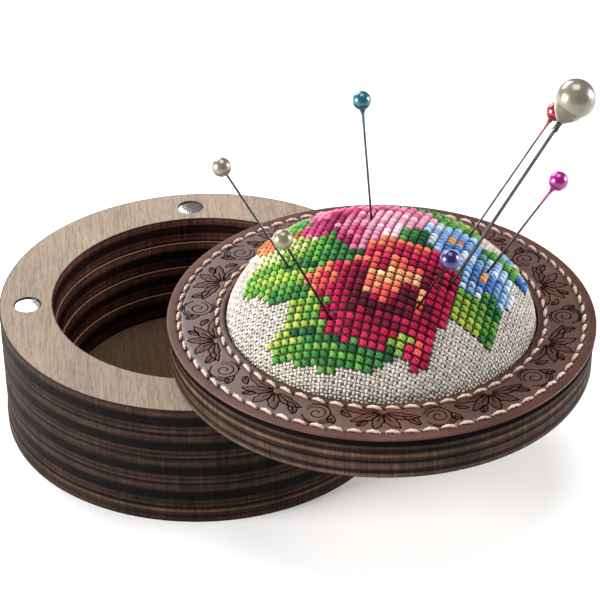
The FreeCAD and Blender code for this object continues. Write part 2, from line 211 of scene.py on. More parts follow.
def turned(name, outline, material, place=Matrix(), steps=256, colours=None):
    """Turn a closed outline of (radius, height) in metres about Z, then put it in place."""
    count = len(outline)
    angles = np.linspace(0, 2 * math.pi, steps, endpoint=False)
    radius, height = np.array(outline, float).T
    x = np.outer(np.cos(angles), radius)
    y = np.outer(np.sin(angles), radius)
    z = np.tile(height, (steps, 1))
    faces = []
    for step in range(steps):
        near, far = step * count, (step + 1) % steps * count
        for point in range(count):
            after = (point + 1) % count
            if radius[point] < 1e-9 and radius[after] < 1e-9:
                continue
            faces.append((near + point, far + point, far + after, near + after))
    vertices = np.stack([x, y, z], -1).reshape(-1, 3)
    piece = to_object(name, vertices, faces, material)
    if colours is not None:
        rgba = np.tile(np.c_[np.array(colours, float), np.ones(count)], (steps, 1))
        put_attribute(piece.data, "tint", "FLOAT_COLOR", rgba)
    tidy_mesh(piece)
    piece.data.transform(place)
    return piece


def arc(centre, radius, start, end, points):
    """Points (radius, height) along an arc, in degrees from straight out."""
    return [(centre[0] + radius * math.cos(math.radians(a)),
             centre[1] + radius * math.sin(math.radians(a)))
            for a in np.linspace(start, end, points)]


def finish_piece(piece, body, slot, *nodes):
    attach(piece, body)
    if nodes:
        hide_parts(*nodes)
    print(f"{piece.name}: {len(piece.data.polygons)} faces, rides on {body}")
    return piece


def finish_on_lid(piece, slot, *nodes):
    """Finish a piece that was built as if the lid were shut, put where the lid lies."""
    piece.data.transform(lid_place)
    return finish_piece(piece, "lid", slot, *nodes)


def settle_modifiers(piece):
    """Turn a piece's modifiers into plain mesh."""
    bpy.context.view_layer.update()
    seen = piece.evaluated_get(bpy.context.evaluated_depsgraph_get())
    mesh = bpy.data.meshes.new_from_object(seen)
    piece.modifiers.clear()
    piece.data = mesh
    return piece


# %% [markdown]
# ## Camera, floor and light
# The camera stands in front of the box and a little to its left, and looks down about 33
# degrees through a long lens, which keeps the round rims calm. The floor is plain and pale. A
# soft panel behind, to the left, draws a sheen along the leather. Panels at both sides and
# above light the cloth and show as bright windows in the beads. The front gets only the
# world's even light, which leaves the charred wood dark there.

# %% Camera
camera_data = bpy.data.cameras.new("camera")
camera_data.sensor_width = 36
camera_data.lens = 125.8
camera_data.clip_start = 10 * MM
camera = bpy.data.objects.new("camera", camera_data)
bpy.context.scene.collection.objects.link(camera)
camera.location = (-0.0178, -0.3958, 0.2822)
heading, dip, roll = 5.78, 32.82, -0.46
camera.rotation_euler = (
    Matrix.Rotation(math.radians(-heading), 3, "Z")
    @ Matrix.Rotation(math.radians(90 - dip), 3, "X")
    @ Matrix.Rotation(math.radians(roll), 3, "Z")
).to_euler()
bpy.context.scene.camera = camera
print(f"camera {camera.location.length / MM:.0f} mm away, lens {camera_data.lens:.1f} mm")

# %% Floor
floor_material, nodes = new_material("pale_floor", Roughness=0.75, Emission_Strength=1.0)
nodes.shade(Base_Color=nodes.ramp(nodes.noise(9), [(0.3, 0.93), (0.7, 0.96)]))
# far from the object the panels don't reach, so there the floor glows a little of itself
spot = nodes.add("ShaderNodeTexCoord").outputs["Object"]
reach = nodes.add("ShaderNodeVectorMath", {0: spot}, operation="LENGTH").outputs["Value"]
nodes.shade(Emission_Color=nodes.ramp(nodes.maths("MULTIPLY", reach, 0.5), [(0.25, 0), (0.8, 0.6)]))
FLOOR_REACH = 3.0
floor_corners = [(x * FLOOR_REACH, y * FLOOR_REACH, 0) for x, y in ((-1, -1), (1, -1), (1, 1), (-1, 1))]
floor = to_object("floor", floor_corners, [(0, 1, 2, 3)], floor_material)

# %% Light
def soft_panel(name, place, target, width, height, power):
    data = bpy.data.lights.new(name, "AREA")
    data.shape = "RECTANGLE"
    data.size = width
    data.size_y = height
    data.energy = power
    panel = bpy.data.objects.new(name, data)
    bpy.context.scene.collection.objects.link(panel)
    panel.location = place
    panel.rotation_euler = (Vector(target) - Vector(place)).to_track_quat("-Z", "Y").to_euler()


aim = (0.02, -0.01, 0.03)
soft_panel("back_left_panel", (-0.48, 1.06, 0.80), aim, 0.95, 0.70, 15.0)
soft_panel("left_panel", (-1.12, -0.22, 0.36), aim, 0.65, 0.50, 27.0)
soft_panel("right_panel", (1.15, -0.02, 0.38), aim, 0.60, 0.50, 16.0)
soft_panel("top_panel", (0.05, 0.10, 1.25), aim, 0.70, 0.70, 8.0)

world = bpy.data.worlds.new("studio")
bpy.context.scene.world = world
world.use_nodes = True
# the room gives little light, but where the camera sees past the floor it is pale
background = world.node_tree.nodes["Background"]
background.inputs["Color"].default_value = (1, 1, 1, 1)
sky = Nodes(world.node_tree)
seen = sky.add("ShaderNodeLightPath").outputs["Is Camera Ray"]
ROOM_LIGHT, PALER_BEHIND = 0.22, 0.70
sky.feed(background.inputs["Strength"],
         sky.maths("MULTIPLY_ADD", seen, PALER_BEHIND, ROOM_LIGHT))
bpy.context.scene.view_settings.view_transform = "Standard"
print("panels:", [light.name for light in bpy.data.lights])

# %% [markdown]
# ## Laser-cut plywood
# Plywood is thin sheets of wood glued with their grain crossed. A laser burns its way through,
# so the cut edge is charred, and each sheet chars to its own brown: the sheets cut across the
# grain come out darkest, and the glue lines are thin and black. The flat faces keep a stained
# veneer. The wood material reads the colour that each outline point carries and works fine
# fibres over it: along the veneer on flat faces, and upright streaks from the beam on walls.

# %% Wood material
def wood_material():
    material, nodes = new_material("burnt_plywood")
    facing = nodes.add("ShaderNodeNewGeometry").outputs["Normal"]
    upward = nodes.add("ShaderNodeSeparateXYZ", {0: facing}).outputs["Z"]
    flat_face = nodes.maths("GREATER_THAN", nodes.maths("ABSOLUTE", upward), 0.7)
    grain = nodes.noise(700, (3.2, 0.14, 1), detail=6, roughness=0.65)
    pores = nodes.noise(2600, (1.2, 0.16, 1), detail=2)
    patches = nodes.noise(55, (1.6, 0.6, 1), detail=2)
    veneer = nodes.ramp(grain, [(0.28, (0.62, 0.58, 0.54)), (0.5, (0.96, 0.95, 0.94)),
                                (0.75, (1.18, 1.16, 1.14))])
    veneer = nodes.work_over(veneer, pores, [(0.3, (0.6, 0.58, 0.56)), (0.55, 1.05)], 0.55)
    veneer = nodes.work_over(veneer, patches, [(0.35, (0.8, 0.8, 0.82)),
                                               (0.65, (1.08, 1.06, 1.02))], 0.6)
    streaks = nodes.noise(1500, (1, 1, 0.07), detail=4, roughness=0.7)
    smoke = nodes.noise(160, (1, 1, 0.8), detail=3)
    layers = nodes.noise(1500, (0.035, 0.035, 1), detail=5, roughness=0.65)
    wall = nodes.ramp(streaks, [(0.3, (0.17, 0.155, 0.165)), (0.55, (0.38, 0.35, 0.34)),
                                (0.78, (0.72, 0.66, 0.60))])
    wall = nodes.work_over(wall, smoke, [(0.35, (0.65, 0.65, 0.7)), (0.65, (1.15, 1.12, 1.1))], 0.6)
    wall = nodes.work_over(wall, layers, [(0.34, (0.42, 0.40, 0.40)), (0.5, 1),
                                          (0.68, (1.75, 1.6, 1.5))], 0.85)
    texture = nodes.mix(flat_face, wall, veneer)
    upright = nodes.bump(streaks, 0.5, 0.08 * MM)
    fibres = nodes.bump(pores, 0.35, 0.04 * MM)
    normal = nodes.add("ShaderNodeMix", {0: flat_face, 4: upright, 5: fibres}, data_type="VECTOR")
    nodes.shade(Base_Color=nodes.mix(1.0, nodes.attribute("tint", "Color"), texture, "MULTIPLY"),
                Roughness=nodes.ramp(smoke, [(0.3, 0.5), (0.7, 0.68)]),
                Specular_IOR_Level=nodes.maths("MULTIPLY_ADD", flat_face, 0.01, 0.05),
                Normal=normal.outputs[1])
    return material


wood = wood_material()
print(f"the wood is a tree of {len(wood.node_tree.nodes)} nodes")

# %% [markdown]
# ### The stack of rings
# Each ring is one outline turned once. Its walls step in and out by a few hundredths of a
# millimetre from sheet to sheet, and its edges are broken a little, so light catches them. A
# list of sheets gives each one's share of the ring's height, its colour and its step.

# %% Plywood outline
VENEER = (0.305, 0.243, 0.192)
SCORCH = (0.030, 0.019, 0.014)
LEDGE = (0.40, 0.220, 0.142)
GLUE = (0.010, 0.007, 0.006)
# share of the height, colour, and step inwards in metres, listed from the bottom up
BOX_SHEETS = [
    (0.05, GLUE, 0.00009),
    (0.15, (0.090, 0.060, 0.046), 0.0),
    (0.03, (0.030, 0.020, 0.016), 0.00003),
    (0.15, (0.070, 0.046, 0.036), 0.0),
    (0.03, GLUE, 0.00007),
    (0.35, (0.012, 0.008, 0.007), 0.00007),
    (0.24, (0.100, 0.066, 0.047), 0.0),
]
BOARD_SHEETS = [
    (0.42, (0.072, 0.050, 0.040), 0.0),
    (0.05, (0.030, 0.020, 0.015), 0.00004),
    (0.38, (0.060, 0.040, 0.032), 0.0),
    (0.15, (0.210, 0.135, 0.075), 0.0),
]
EDGE_BREAK = 0.12 * MM
SCORCHED_EDGE = 0.40 * MM


def wall(radius, low, high, sheets, sign):
    """Points and colours up one wall. sign is 1 on an outer wall and -1 in a bore."""
    points, colours = [], []
    z = low + EDGE_BREAK
    for share, colour, step in sheets:
        thick = share * (high - low - 2 * EDGE_BREAK)
        soft = 0.22 * thick
        points += [(radius - sign * step, z + soft), (radius - sign * step, z + thick - soft)]
        colours += [colour, colour]
        z += thick
    return points, colours


def plywood(name, outer, low, high, sheets, bore=0.0, place=Matrix(), face=VENEER, inner=None):
    """A round board or ring of plywood, with its two flat faces in one colour."""
    points, colours = wall(outer, low, high, sheets, 1)
    points += [(outer - EDGE_BREAK, high), (outer - SCORCHED_EDGE, high)]
    colours += [SCORCH, face]
    if bore:
        bore_points, bore_colours = wall(bore, low, high, inner or sheets, -1)
        points += [(bore + SCORCHED_EDGE, high), (bore + EDGE_BREAK, high)]
        points += bore_points[::-1] + [(bore + EDGE_BREAK, low), (bore + SCORCHED_EDGE, low)]
        colours += [face, SCORCH] + bore_colours[::-1] + [SCORCH, face]
    else:
        points += [(0, high), (0, low)]
        colours += [face, face]
    points += [(outer - SCORCHED_EDGE, low), (outer - EDGE_BREAK, low)]
    colours += [face, SCORCH]
    return turned(name, points, wood, place, 256, colours)


def cut_pockets(piece, nodes_in_pockets, mouth_z, into):
    """Cut a round pocket for each magnet. into is 1 to cut upwards and -1 downwards."""
    slack, tinted = 0.1 * MM, 3.2 * MM
    for node in nodes_in_pockets:
        low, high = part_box(node)
        radius = (high.x - low.x) / 2 + slack
        depth = (high.z - mouth_z if into > 0 else mouth_z - low.z) + 0.02 * MM
        ends = sorted((mouth_z + into * depth, mouth_z - into * MM))
        outline = [(0, ends[0]), (radius, ends[0]), (radius, ends[1]), (0, ends[1])]
        spot = Matrix.Translation((middle(node).x, middle(node).y, 0))
        tool = turned("pocket_tool", outline, wood, spot, 48, [SCORCH] * 4)
        cut = piece.modifiers.new("pocket", "BOOLEAN")
        cut.object = tool
        cut.operation = "DIFFERENCE"
        cut.solver = "EXACT"
        settle_modifiers(piece)
        bpy.data.objects.remove(tool)
    # the cut leaves new points without a colour, so the points round each pocket get theirs
    tint = piece.data.attributes["tint"].data
    for node in nodes_in_pockets:
        centre = middle(node)
        for vertex in piece.data.vertices:
            away = math.hypot(vertex.co.x - centre.x, vertex.co.y - centre.y)
            if away < tinted:
                on_face = abs(vertex.co.z - mouth_z) < 1e-6
                tint[vertex.index].color = (*(VENEER if on_face else SCORCH), 1)
    piece.data.shade_smooth()
    piece.data.set_sharp_from_angle(angle=math.radians(35))
    return piece


# %% Base board and rings
SIDES = ("front", "right", "back", "left")
# the box's floor is the rim's veneer painted darker and warmer: painted shade for the bottom of the box
BOX_FLOOR_PAINTED_SHADE = (0.125, 0.078, 0.048)
low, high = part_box("base_board")
board = plywood("stacked_base_board", (high.x - low.x) / 2, low.z, high.z, BOARD_SHEETS,
                face=BOX_FLOOR_PAINTED_SHADE)
finish_piece(board, "box", "burnt_plywood", "base_board")

rim_width = 11.9 * MM
bore_step = 0.6 * MM
# in the bore the same sheets are painted paler, a painted light for the bore that the panels light
# poorly, and they step in less
BORE_SHEETS_PAINTED_LIGHT = [(share, (2.9 * red, 2.0 * green, 2.1 * blue), 0.6 * step)
               for share, (red, green, blue), step in BOX_SHEETS]
for level in range(1, 5):
    node = f"base_ring_{level}"
    low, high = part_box(node)
    bore = box_radius - rim_width - (4 - level) * bore_step
    ring = plywood(f"plywood_ring_{level}", box_radius, low.z, high.z, BOX_SHEETS, bore,
                   face=VENEER if level == 4 else LEDGE, inner=BORE_SHEETS_PAINTED_LIGHT)
    if level == 4:
        cut_pockets(ring, [f"base_magnet_{side}" for side in SIDES], high.z, -1)
    finish_piece(ring, "box", "burnt_plywood", node)

# %% [markdown]
# ### The lid's two layers
# The lid is a solid board with a ring glued on it. Its walls were cut more gently than the
# box's, so some sheets stay golden between the dark ones.

# %% Lid board and lid ring
GOLD = (0.255, 0.160, 0.096)
LID_BOARD_SHEETS = [
    (0.22, (0.225, 0.160, 0.122), 0.0),
    (0.26, (0.036, 0.024, 0.018), 0.00006),
    (0.46, (0.150, 0.104, 0.078), 0.0),
    (0.06, GLUE, 0.00007),
]
LID_RING_SHEETS = [
    (0.16, (0.060, 0.040, 0.028), 0.0),
    (0.24, GOLD, 0.0),
    (0.30, (0.022, 0.015, 0.012), 0.00007),
    (0.18, (0.105, 0.072, 0.054), 0.0),
    (0.12, GLUE, 0.00010),
]
lid_radius = box_radius
lid_rim_width = 11.3 * MM
low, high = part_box("lid_board")
lid_board = plywood("swing_lid_board", lid_radius, low.z, high.z, LID_BOARD_SHEETS,
                    place=lid_place)
cut_pockets(lid_board, [f"lid_magnet_{side}" for side in SIDES], low.z, 1)
finish_piece(lid_board, "lid", "burnt_plywood", "lid_board")

low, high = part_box("lid_ring")
lid_ring = plywood("cushion_frame_ring", lid_radius, low.z, high.z, LID_RING_SHEETS,
                   lid_radius - lid_rim_width, lid_place)
finish_piece(lid_ring, "lid", "burnt_plywood", "lid_ring")

# %% [markdown]
# ## Disc magnets
# The magnets are nickel-plated discs with a rolled edge, sunk a little below the wood. Nickel
# is a metal, so it is all reflection: a slight unevenness in roughness and a few rubbed marks
# are what make it read as a real, handled disc.

# %% Magnet material and discs
nickel, nodes = new_material("nickel_plate", Metallic=1.0)
scuffs = nodes.noise(900, (1, 3, 1), detail=5)
nodes.shade(Base_Color=nodes.ramp(scuffs, [(0.35, (0.50, 0.49, 0.48)), (0.6, (0.62, 0.61, 0.60))]),
            Roughness=nodes.ramp(scuffs, [(0.3, 0.19), (0.7, 0.09)]),
            Normal=nodes.bump(scuffs, 0.12, 0.02 * MM))


def disc_magnet(name, node, body):
    low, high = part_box(node)
    radius = (high.x - low.x) / 2
    edge = 0.25 * MM
    outline = [(0, low.z)]
    outline += arc((radius - edge, low.z + edge), edge, -90, 0, 6)
    outline += arc((radius - edge, high.z - edge), edge, 0, 90, 6)
    outline += [(0, high.z)]
    spot = Matrix.Translation((middle(node).x, middle(node).y, 0))
    finish_piece(turned(name, outline, nickel, spot, 64), body, "magnet_metal", node)


for side in SIDES:
    disc_magnet(f"rim_magnet_{side}", f"base_magnet_{side}", "box")
    carrier = "swivel_magnet" if side == "front" else "lid"
    disc_magnet(f"lid_disc_{side}", f"lid_magnet_{side}", carrier)

# %% [markdown]
# ## Tooled leather ring
# The leather ring is cut from thick hide, tooled, stained and stitched down. The tooled pattern
# is drawn here as plain curves on an unrolled strip: fans of leaves and scrolls, all of our own
# drawing. For every point of the ring's mesh we then find how far the nearest curve is. That
# one number cuts the groove into the mesh and, as an attribute, lets the material lay black
# stain in it, with an edge far sharper than the mesh is fine.

# %% Drawing on the strip, in millimetres
def leaf(root, heading, length, width, bend, barbs=0.12):
    """The outline and vein of one leaf. Heading 0 points straight out from the ring's middle."""
    steps = 24
    stalk = 0.7
    t = np.linspace(0, 1, steps + 1)
    turn = np.radians(heading + bend * t)
    ahead = np.c_[np.sin(turn), np.cos(turn)]
    spine = np.array(root) + np.cumsum(ahead * length / steps, axis=0) + ahead[0] * stalk
    half = width / 2 * np.sin(np.pi * t ** 0.85) ** 0.8 * (1 + barbs * np.sin(6 * np.pi * t))
    side = np.c_[np.cos(turn), -np.sin(turn)] * half[:, None]
    outline = np.r_[spine + side, (spine - side)[::-1]]
    return [outline, spine[2:13]]


def scroll(centre, reach, start, turns, tightness=0.75):
    """A spiral that winds in to its centre."""
    t = np.linspace(0, 1, 40)
    turn = math.radians(start) + 2 * math.pi * turns * t
    radius = reach * (1 - tightness * t)
    return [np.array(centre) + np.c_[np.cos(turn), np.sin(turn)] * radius[:, None]]


STRIP_INNER = 35.65 * MM
STRIP_OUTER = 42.05 * MM
STRIP_RADIUS = (STRIP_INNER + STRIP_OUTER) / 2
REPEATS = 10
strip_length = 2 * math.pi * STRIP_RADIUS / MM / REPEATS
strip_depth = (STRIP_OUTER - STRIP_INNER) / MM
# a fan of five leaves that spreads from the ring's inner side, and small leaves in the corners
LEAVES = [
    ((7.5, 0.2), -86, 8.0, 2.0, -14), ((7.5, 0.2), -54, 6.6, 2.3, -10),
    ((7.5, 0.2), -18, 5.5, 2.3, 8), ((7.5, 0.2), 20, 5.7, 2.3, 20), ((7.5, 0.2), 58, 7.0, 2.2, 30),
    ((14.6, 6.2), 196, 4.4, 1.7, 50), ((23.2, 6.2), 222, 3.2, 1.5, -36),
    ((2.2, 6.2), 150, 2.8, 1.4, -30), ((22.6, 0.2), 34, 3.0, 1.3, 40),
]
leaves = [leaf(*drawn) for drawn in LEAVES]
curves = [curve for both in leaves for curve in both]
# a scroll with combed fronds round it
curves += scroll((18.5, 3.2), 2.3, 190, 1.4, 0.8)
for reach, start, turns in ((2.9, 200, 0.62), (3.3, 20, 0.36), (3.8, 34, 0.24), (3.4, 232, 0.20)):
    curves += scroll((18.5, 3.1), reach, start, turns, 0.10)


FAR = 9.0


def distance_to_curves(along, across, period):
    """How far each point of the strip is from the nearest curve, in millimetres."""
    nearest = np.full(len(along), FAR)
    for curve in curves:
        for start, end in zip(curve[:-1], curve[1:]):
            line = end - start
            square = max(float(line @ line), 1e-9)
            du = (along - start[0] + period / 2) % period - period / 2
            dv = across - start[1]
            t = np.clip((du * line[0] + dv * line[1]) / square, 0, 1)
            nearest = np.minimum(nearest, np.hypot(du - t * line[0], dv - t * line[1]))
    return nearest


def inside_leaves(along, across, period):
    """1 inside a leaf and 0 outside, by counting crossings of each outline."""
    inside = np.zeros(len(along), bool)
    for outline, _ in leaves:
        x0 = outline[:, 0].mean()
        x = (along - x0 + period / 2) % period - period / 2 + x0
        crossed = np.zeros(len(along), bool)
        for (x1, y1), (x2, y2) in zip(outline, np.roll(outline, -1, axis=0)):
            if y1 != y2:
                level = (y1 > across) != (y2 > across)
                crossed ^= level & (x < (x2 - x1) * (across - y1) / (y2 - y1) + x1)
        inside |= crossed
    return inside.astype(float)


print(f"{len(curves)} curves on each {strip_length:.1f} mm of the strip, repeated {REPEATS} times")

# %% Leather sizes and stitch rows
INNER_ROW = 34.76 * MM
OUTER_ROW = 42.90 * MM
INNER_STITCHES = 58
OUTER_STITCHES = 72
leather_reach = span("leather_ring").x / 2
leather_bore = 33.17 * MM
print(f"leather {leather_bore / MM:.1f} to {leather_reach / MM:.1f} mm from the middle")


def points_of(piece):
    flat = np.empty(len(piece.data.vertices) * 3, np.float32)
    piece.data.vertices.foreach_get("co", flat)
    return flat.reshape(-1, 3).astype(float)


def move_points(piece, points):
    piece.data.vertices.foreach_set("co", np.asarray(points, np.float32).ravel())
    piece.data.update()


# %% Leather ring
corner = 0.25 * MM
outline = [(leather_bore, leather_low + 0.1 * MM)]
outline += arc((leather_bore + corner, leather_high - corner), corner, 180, 90, 6)
outline += [(r * MM, leather_high) for r in np.arange(33.8, 35.9, 0.3)]
outline += [(r, leather_high) for r in np.linspace(STRIP_INNER, STRIP_OUTER, 45)]
outline += [(r * MM, leather_high) for r in np.arange(42.0, 44.9, 0.24)]
outline += arc((leather_reach - corner, leather_high - corner), corner, 90, 0, 7)
outline += [(leather_reach, leather_high - 0.42 * MM), (leather_reach - 0.1 * MM, leather_low),
            (leather_bore + 0.1 * MM, leather_low)]
leather, nodes = new_material("tooled_leather")
leather_ring = turned("tooled_leather_ring", outline, leather, steps=1100)
points = points_of(leather_ring)
radius = np.hypot(points[:, 0], points[:, 1])
bearing = np.arctan2(points[:, 1], points[:, 0]) % (2 * math.pi)
top = points[:, 2] > leather_high - 0.02 * MM
along = bearing * STRIP_RADIUS / MM
across = (radius - STRIP_INNER) / MM
tooling = np.full(len(points), FAR)
in_strip = top & (across > -0.5) & (across < strip_depth + 0.5)
tooling[in_strip] = distance_to_curves(along[in_strip], across[in_strip], strip_length)
leafy = np.zeros(len(points))
leafy[in_strip] = inside_leaves(along[in_strip], across[in_strip], strip_length)
print(f"{in_strip.sum()} points lie in the tooled strip, {int(leafy.sum())} of them on leaves")


# %% Grooves, holes and leaves pressed into the ring
def distance_to_holes(row, count, slant):
    """How far each point is from the nearest awl hole of one row, a short slanted slit."""
    pitch = 2 * math.pi / count
    half_slit = 0.42
    du = ((bearing + pitch / 2) % pitch - pitch / 2) * row / MM
    dv = (radius - row) / MM
    line = np.array((math.sin(slant), math.cos(slant))) * half_slit
    t = np.clip((du * line[0] + dv * line[1]) / float(line @ line), -1, 1)
    return np.hypot(du - t * line[0], dv - t * line[1])


SLIT_SLANT = 0.6
holes = np.minimum(distance_to_holes(INNER_ROW, INNER_STITCHES, SLIT_SLANT),
                   distance_to_holes(OUTER_ROW, OUTER_STITCHES, SLIT_SLANT))
holes[~top] = FAR
row = np.minimum(np.abs(radius - INNER_ROW), np.abs(radius - OUTER_ROW)) / MM
# depth and reach, in millimetres, of a tooled line, of a stitch row's groove and of a hole
for away, depth, width in ((tooling, 0.05, 0.20), (row, 0.13, 0.55), (holes, 0.25, 0.28)):
    points[:, 2] -= top * depth * MM * np.exp(-(away / width) ** 2)
# between the leaves the hide is pressed down a little, so the leaves stand proud
pressed = in_strip * (1 - leafy)
points[:, 2] -= pressed * np.clip(tooling / 0.3, 0, 1) * 0.035 * MM
move_points(leather_ring, points)
inked = np.clip((leather_high - 0.22 * MM - points[:, 2]) / (0.15 * MM), 0, 1) * (radius > 44.5 * MM)
for name, values in (("tooling", tooling), ("holes", holes), ("pressed", pressed), ("edge", inked)):
    put_attribute(leather_ring.data, name, "FLOAT", values)

# %% Leather material
line, edge = nodes.attribute("tooling"), nodes.attribute("edge")
pebble = nodes.noise(1900, detail=4, roughness=0.6)
cloud = nodes.noise(90, detail=4)
colour = nodes.ramp(cloud, [(0.3, (0.050, 0.016, 0.011)), (0.55, (0.076, 0.026, 0.018)),
                            (0.75, (0.105, 0.040, 0.029))])
colour = nodes.work_over(colour, pebble, [(0.32, (0.70, 0.68, 0.68)), (0.6, 1.15)])
colour = nodes.work_over(colour, line, [(0.10, (0.03, 0.02, 0.02)), (0.20, 1)])
# the awl holes are painted near black: painted shade for the depth of the slits, which the mesh dips
# only a little
colour = nodes.work_over(colour, nodes.attribute("holes"), [(0.20, (0.04, 0.03, 0.03)), (0.36, 1)])
colour = nodes.mix(edge, colour, (0.006, 0.004, 0.004, 1))
# stained lines and the inked edge are dull, and the pressed ground is burnished
bare = nodes.maths("MULTIPLY", nodes.ramp(line, [(0.10, 0), (0.20, 1)]),
                   nodes.maths("SUBTRACT", 1.0, edge))
burnish = nodes.maths("MULTIPLY_ADD", nodes.attribute("pressed"), 0.55, 0.30)
nodes.shade(Base_Color=colour, Specular_IOR_Level=nodes.maths("MULTIPLY", bare, burnish),
            Roughness=nodes.ramp(pebble, [(0.3, 0.46), (0.7, 0.34)]),
            Normal=nodes.bump(pebble, 0.55, 0.07 * MM))
print(f"the leather is a tree of {len(leather.node_tree.nodes)} nodes")
finish_on_lid(leather_ring, "tooled_leather", "leather_ring")

# %% [markdown]
# ## One shape, many places
# Stitches, linen threads and cross stitches are all one small shape laid down hundreds of
# times. A Geometry Nodes tree does it. It takes a mesh of bare points, each with a turn, a size
# and a colour, sets the shape on every point, and gives the whole its material. The colour
# travels with each copy. The result is then made plain mesh.

# %% Geometry Nodes tree
def scatter_tree():
    tree = bpy.data.node_groups.new("lay_on_points", "GeometryNodeTree")
    for name, kind in (("Points", "NodeSocketGeometry"), ("Shape", "NodeSocketObject"),
                       ("Material", "NodeSocketMaterial")):
        tree.interface.new_socket(name, in_out="INPUT", socket_type=kind)
    tree.interface.new_socket("Laid", in_out="OUTPUT", socket_type="NodeSocketGeometry")
    nodes = Nodes(tree)
    given = nodes.add("NodeGroupInput")
    result = nodes.add("NodeGroupOutput")
    shape = nodes.add("GeometryNodeObjectInfo", {"Object": given.outputs["Shape"]})
    turn = nodes.add("GeometryNodeInputNamedAttribute", {"Name": "turn"}, data_type="FLOAT_VECTOR")
    size = nodes.add("GeometryNodeInputNamedAttribute", {"Name": "size"}, data_type="FLOAT_VECTOR")
    spin = nodes.add("FunctionNodeEulerToRotation", {0: turn.outputs["Attribute"]})
    laid = nodes.add("GeometryNodeInstanceOnPoints", {
        "Points": given.outputs["Points"], "Instance": shape.outputs["Geometry"],
        "Rotation": spin.outputs[0], "Scale": size.outputs["Attribute"]})
    real = nodes.add("GeometryNodeRealizeInstances", {0: laid.outputs[0]})
    dressed = nodes.add("GeometryNodeSetMaterial", {
        "Geometry": real.outputs[0], "Material": given.outputs["Material"]})
    nodes.feed(result.inputs["Laid"], dressed.outputs[0])
    return tree


scatter = scatter_tree()


def lay(name, shape, places, frames, sizes, tints, material):
    """Lay a shape on points. frames is one 3x3 turning matrix a point."""
    mesh = bpy.data.meshes.new(name)
    mesh.from_pydata([tuple(p) for p in places], [], [])
    turns = [Matrix(f.tolist()).to_euler() for f in frames]
    put_attribute(mesh, "turn", "FLOAT_VECTOR", [tuple(t) for t in turns])
    put_attribute(mesh, "size", "FLOAT_VECTOR", sizes)
    put_attribute(mesh, "tint", "FLOAT_COLOR", np.c_[tints, np.ones(len(tints))])
    piece = bpy.data.objects.new(name, mesh)
    bpy.context.scene.collection.objects.link(piece)
    layer = piece.modifiers.new("lay", "NODES")
    layer.node_group = scatter
    sockets = {item.name: item.identifier for item in scatter.interface.items_tree}
    layer[sockets["Shape"]] = shape
    layer[sockets["Material"]] = material
    settle_modifiers(piece)
    for extra in ("turn", "size"):
        if extra in piece.data.attributes:
            piece.data.attributes.remove(piece.data.attributes[extra])
    piece.data.shade_smooth()
    print(f"{name}: {len(places)} copies, {len(piece.data.polygons)} faces")
    return piece


def strand(path, thickness, sides=6, flatten=1.0):
    """Vertices and faces of a tube along a path, with pinched ends that close it."""
    path = np.array(path, float)
    ahead = np.gradient(path, axis=0)
    ahead /= np.linalg.norm(ahead, axis=1)[:, None]
    across = np.cross((0, 0, 1), ahead)
    across /= np.maximum(np.linalg.norm(across, axis=1)[:, None], 1e-9)
    over = np.cross(ahead, across)
    around = np.linspace(0, 2 * np.pi, sides, endpoint=False)
    thickness = np.broadcast_to(thickness, len(path))
    rings = [p + thickness[k] * (np.cos(around)[:, None] * across[k]
                                 + flatten * np.sin(around)[:, None] * over[k])
             for k, p in enumerate(path)]
    vertices = np.concatenate(rings + [path[:1], path[-1:]])
    faces = []
    for k in range(len(path) - 1):
        for s in range(sides):
            a, b = k * sides + s, k * sides + (s + 1) % sides
            faces.append((a, b, b + sides, a + sides))
    first, last = len(vertices) - 2, len(vertices) - 1
    end = (len(path) - 1) * sides
    faces += [((s + 1) % sides, s, first) for s in range(sides)]
    faces += [(end + s, end + (s + 1) % sides, last) for s in range(sides)]
    return vertices, faces


def bundle(name, strands):
    """Several strands as one mesh, kept out of the scene, to lay on points."""
    vertices, faces = [], []
    for some, joined in strands:
        faces += [tuple(v + len(vertices) for v in face) for face in joined]
        vertices += [tuple(v) for v in some]
    mesh = bpy.data.meshes.new(name)
    mesh.from_pydata(vertices, [], faces)
    mesh.update()
    mesh.shade_smooth()
    # how deep each point lies in the stitch: 0 on its crown, 1 where it dives into the cloth; the
    # thread material paints shade by it
    heights = np.array(vertices)[:, 2]
    deep = 1 - (heights - heights.min()) / (heights.max() - heights.min())
    put_attribute(mesh, "deep", "FLOAT", deep)
    return bpy.data.objects.new(name, mesh)


# %% Saddle stitching
def thread_material(name, shades, shine, fibre_scale, bump, painted_cleft_shade):
    """Spun thread. painted_cleft_shade is how much darker the colour is painted where the thread dives
    between its neighbours, a painted shade; the crown is painted a little lighter, a painted highlight.
    """
    material, nodes = new_material(name, Specular_IOR_Level=shine)
    fibre = nodes.noise(fibre_scale, detail=4, roughness=0.7)
    shade = nodes.ramp(fibre, [(0.3, shades[0]), (0.7, shades[1])])
    # painted shade and highlight: darker where the thread dives between its neighbours, a little
    # lighter on its crown
    shade = nodes.work_over(shade, nodes.attribute("deep"), [(0.12, 1.1), (0.75, 1 - painted_cleft_shade)])
    nodes.shade(Base_Color=nodes.mix(1.0, nodes.attribute("tint", "Color"), shade, "MULTIPLY"),
                Roughness=nodes.ramp(fibre, [(0.3, 0.75), (0.7, 0.5)]),
                Normal=nodes.bump(fibre, bump, 0.05 * MM))
    return material


# the last number darkens the thread where it dives into the hide: painted shade
waxed = thread_material("waxed_thread", ((0.72, 0.66, 0.64), (1.12, 1.1, 1.08)), 0.35, 5200, 0.5,
                        0.45)
rng = np.random.default_rng(7)


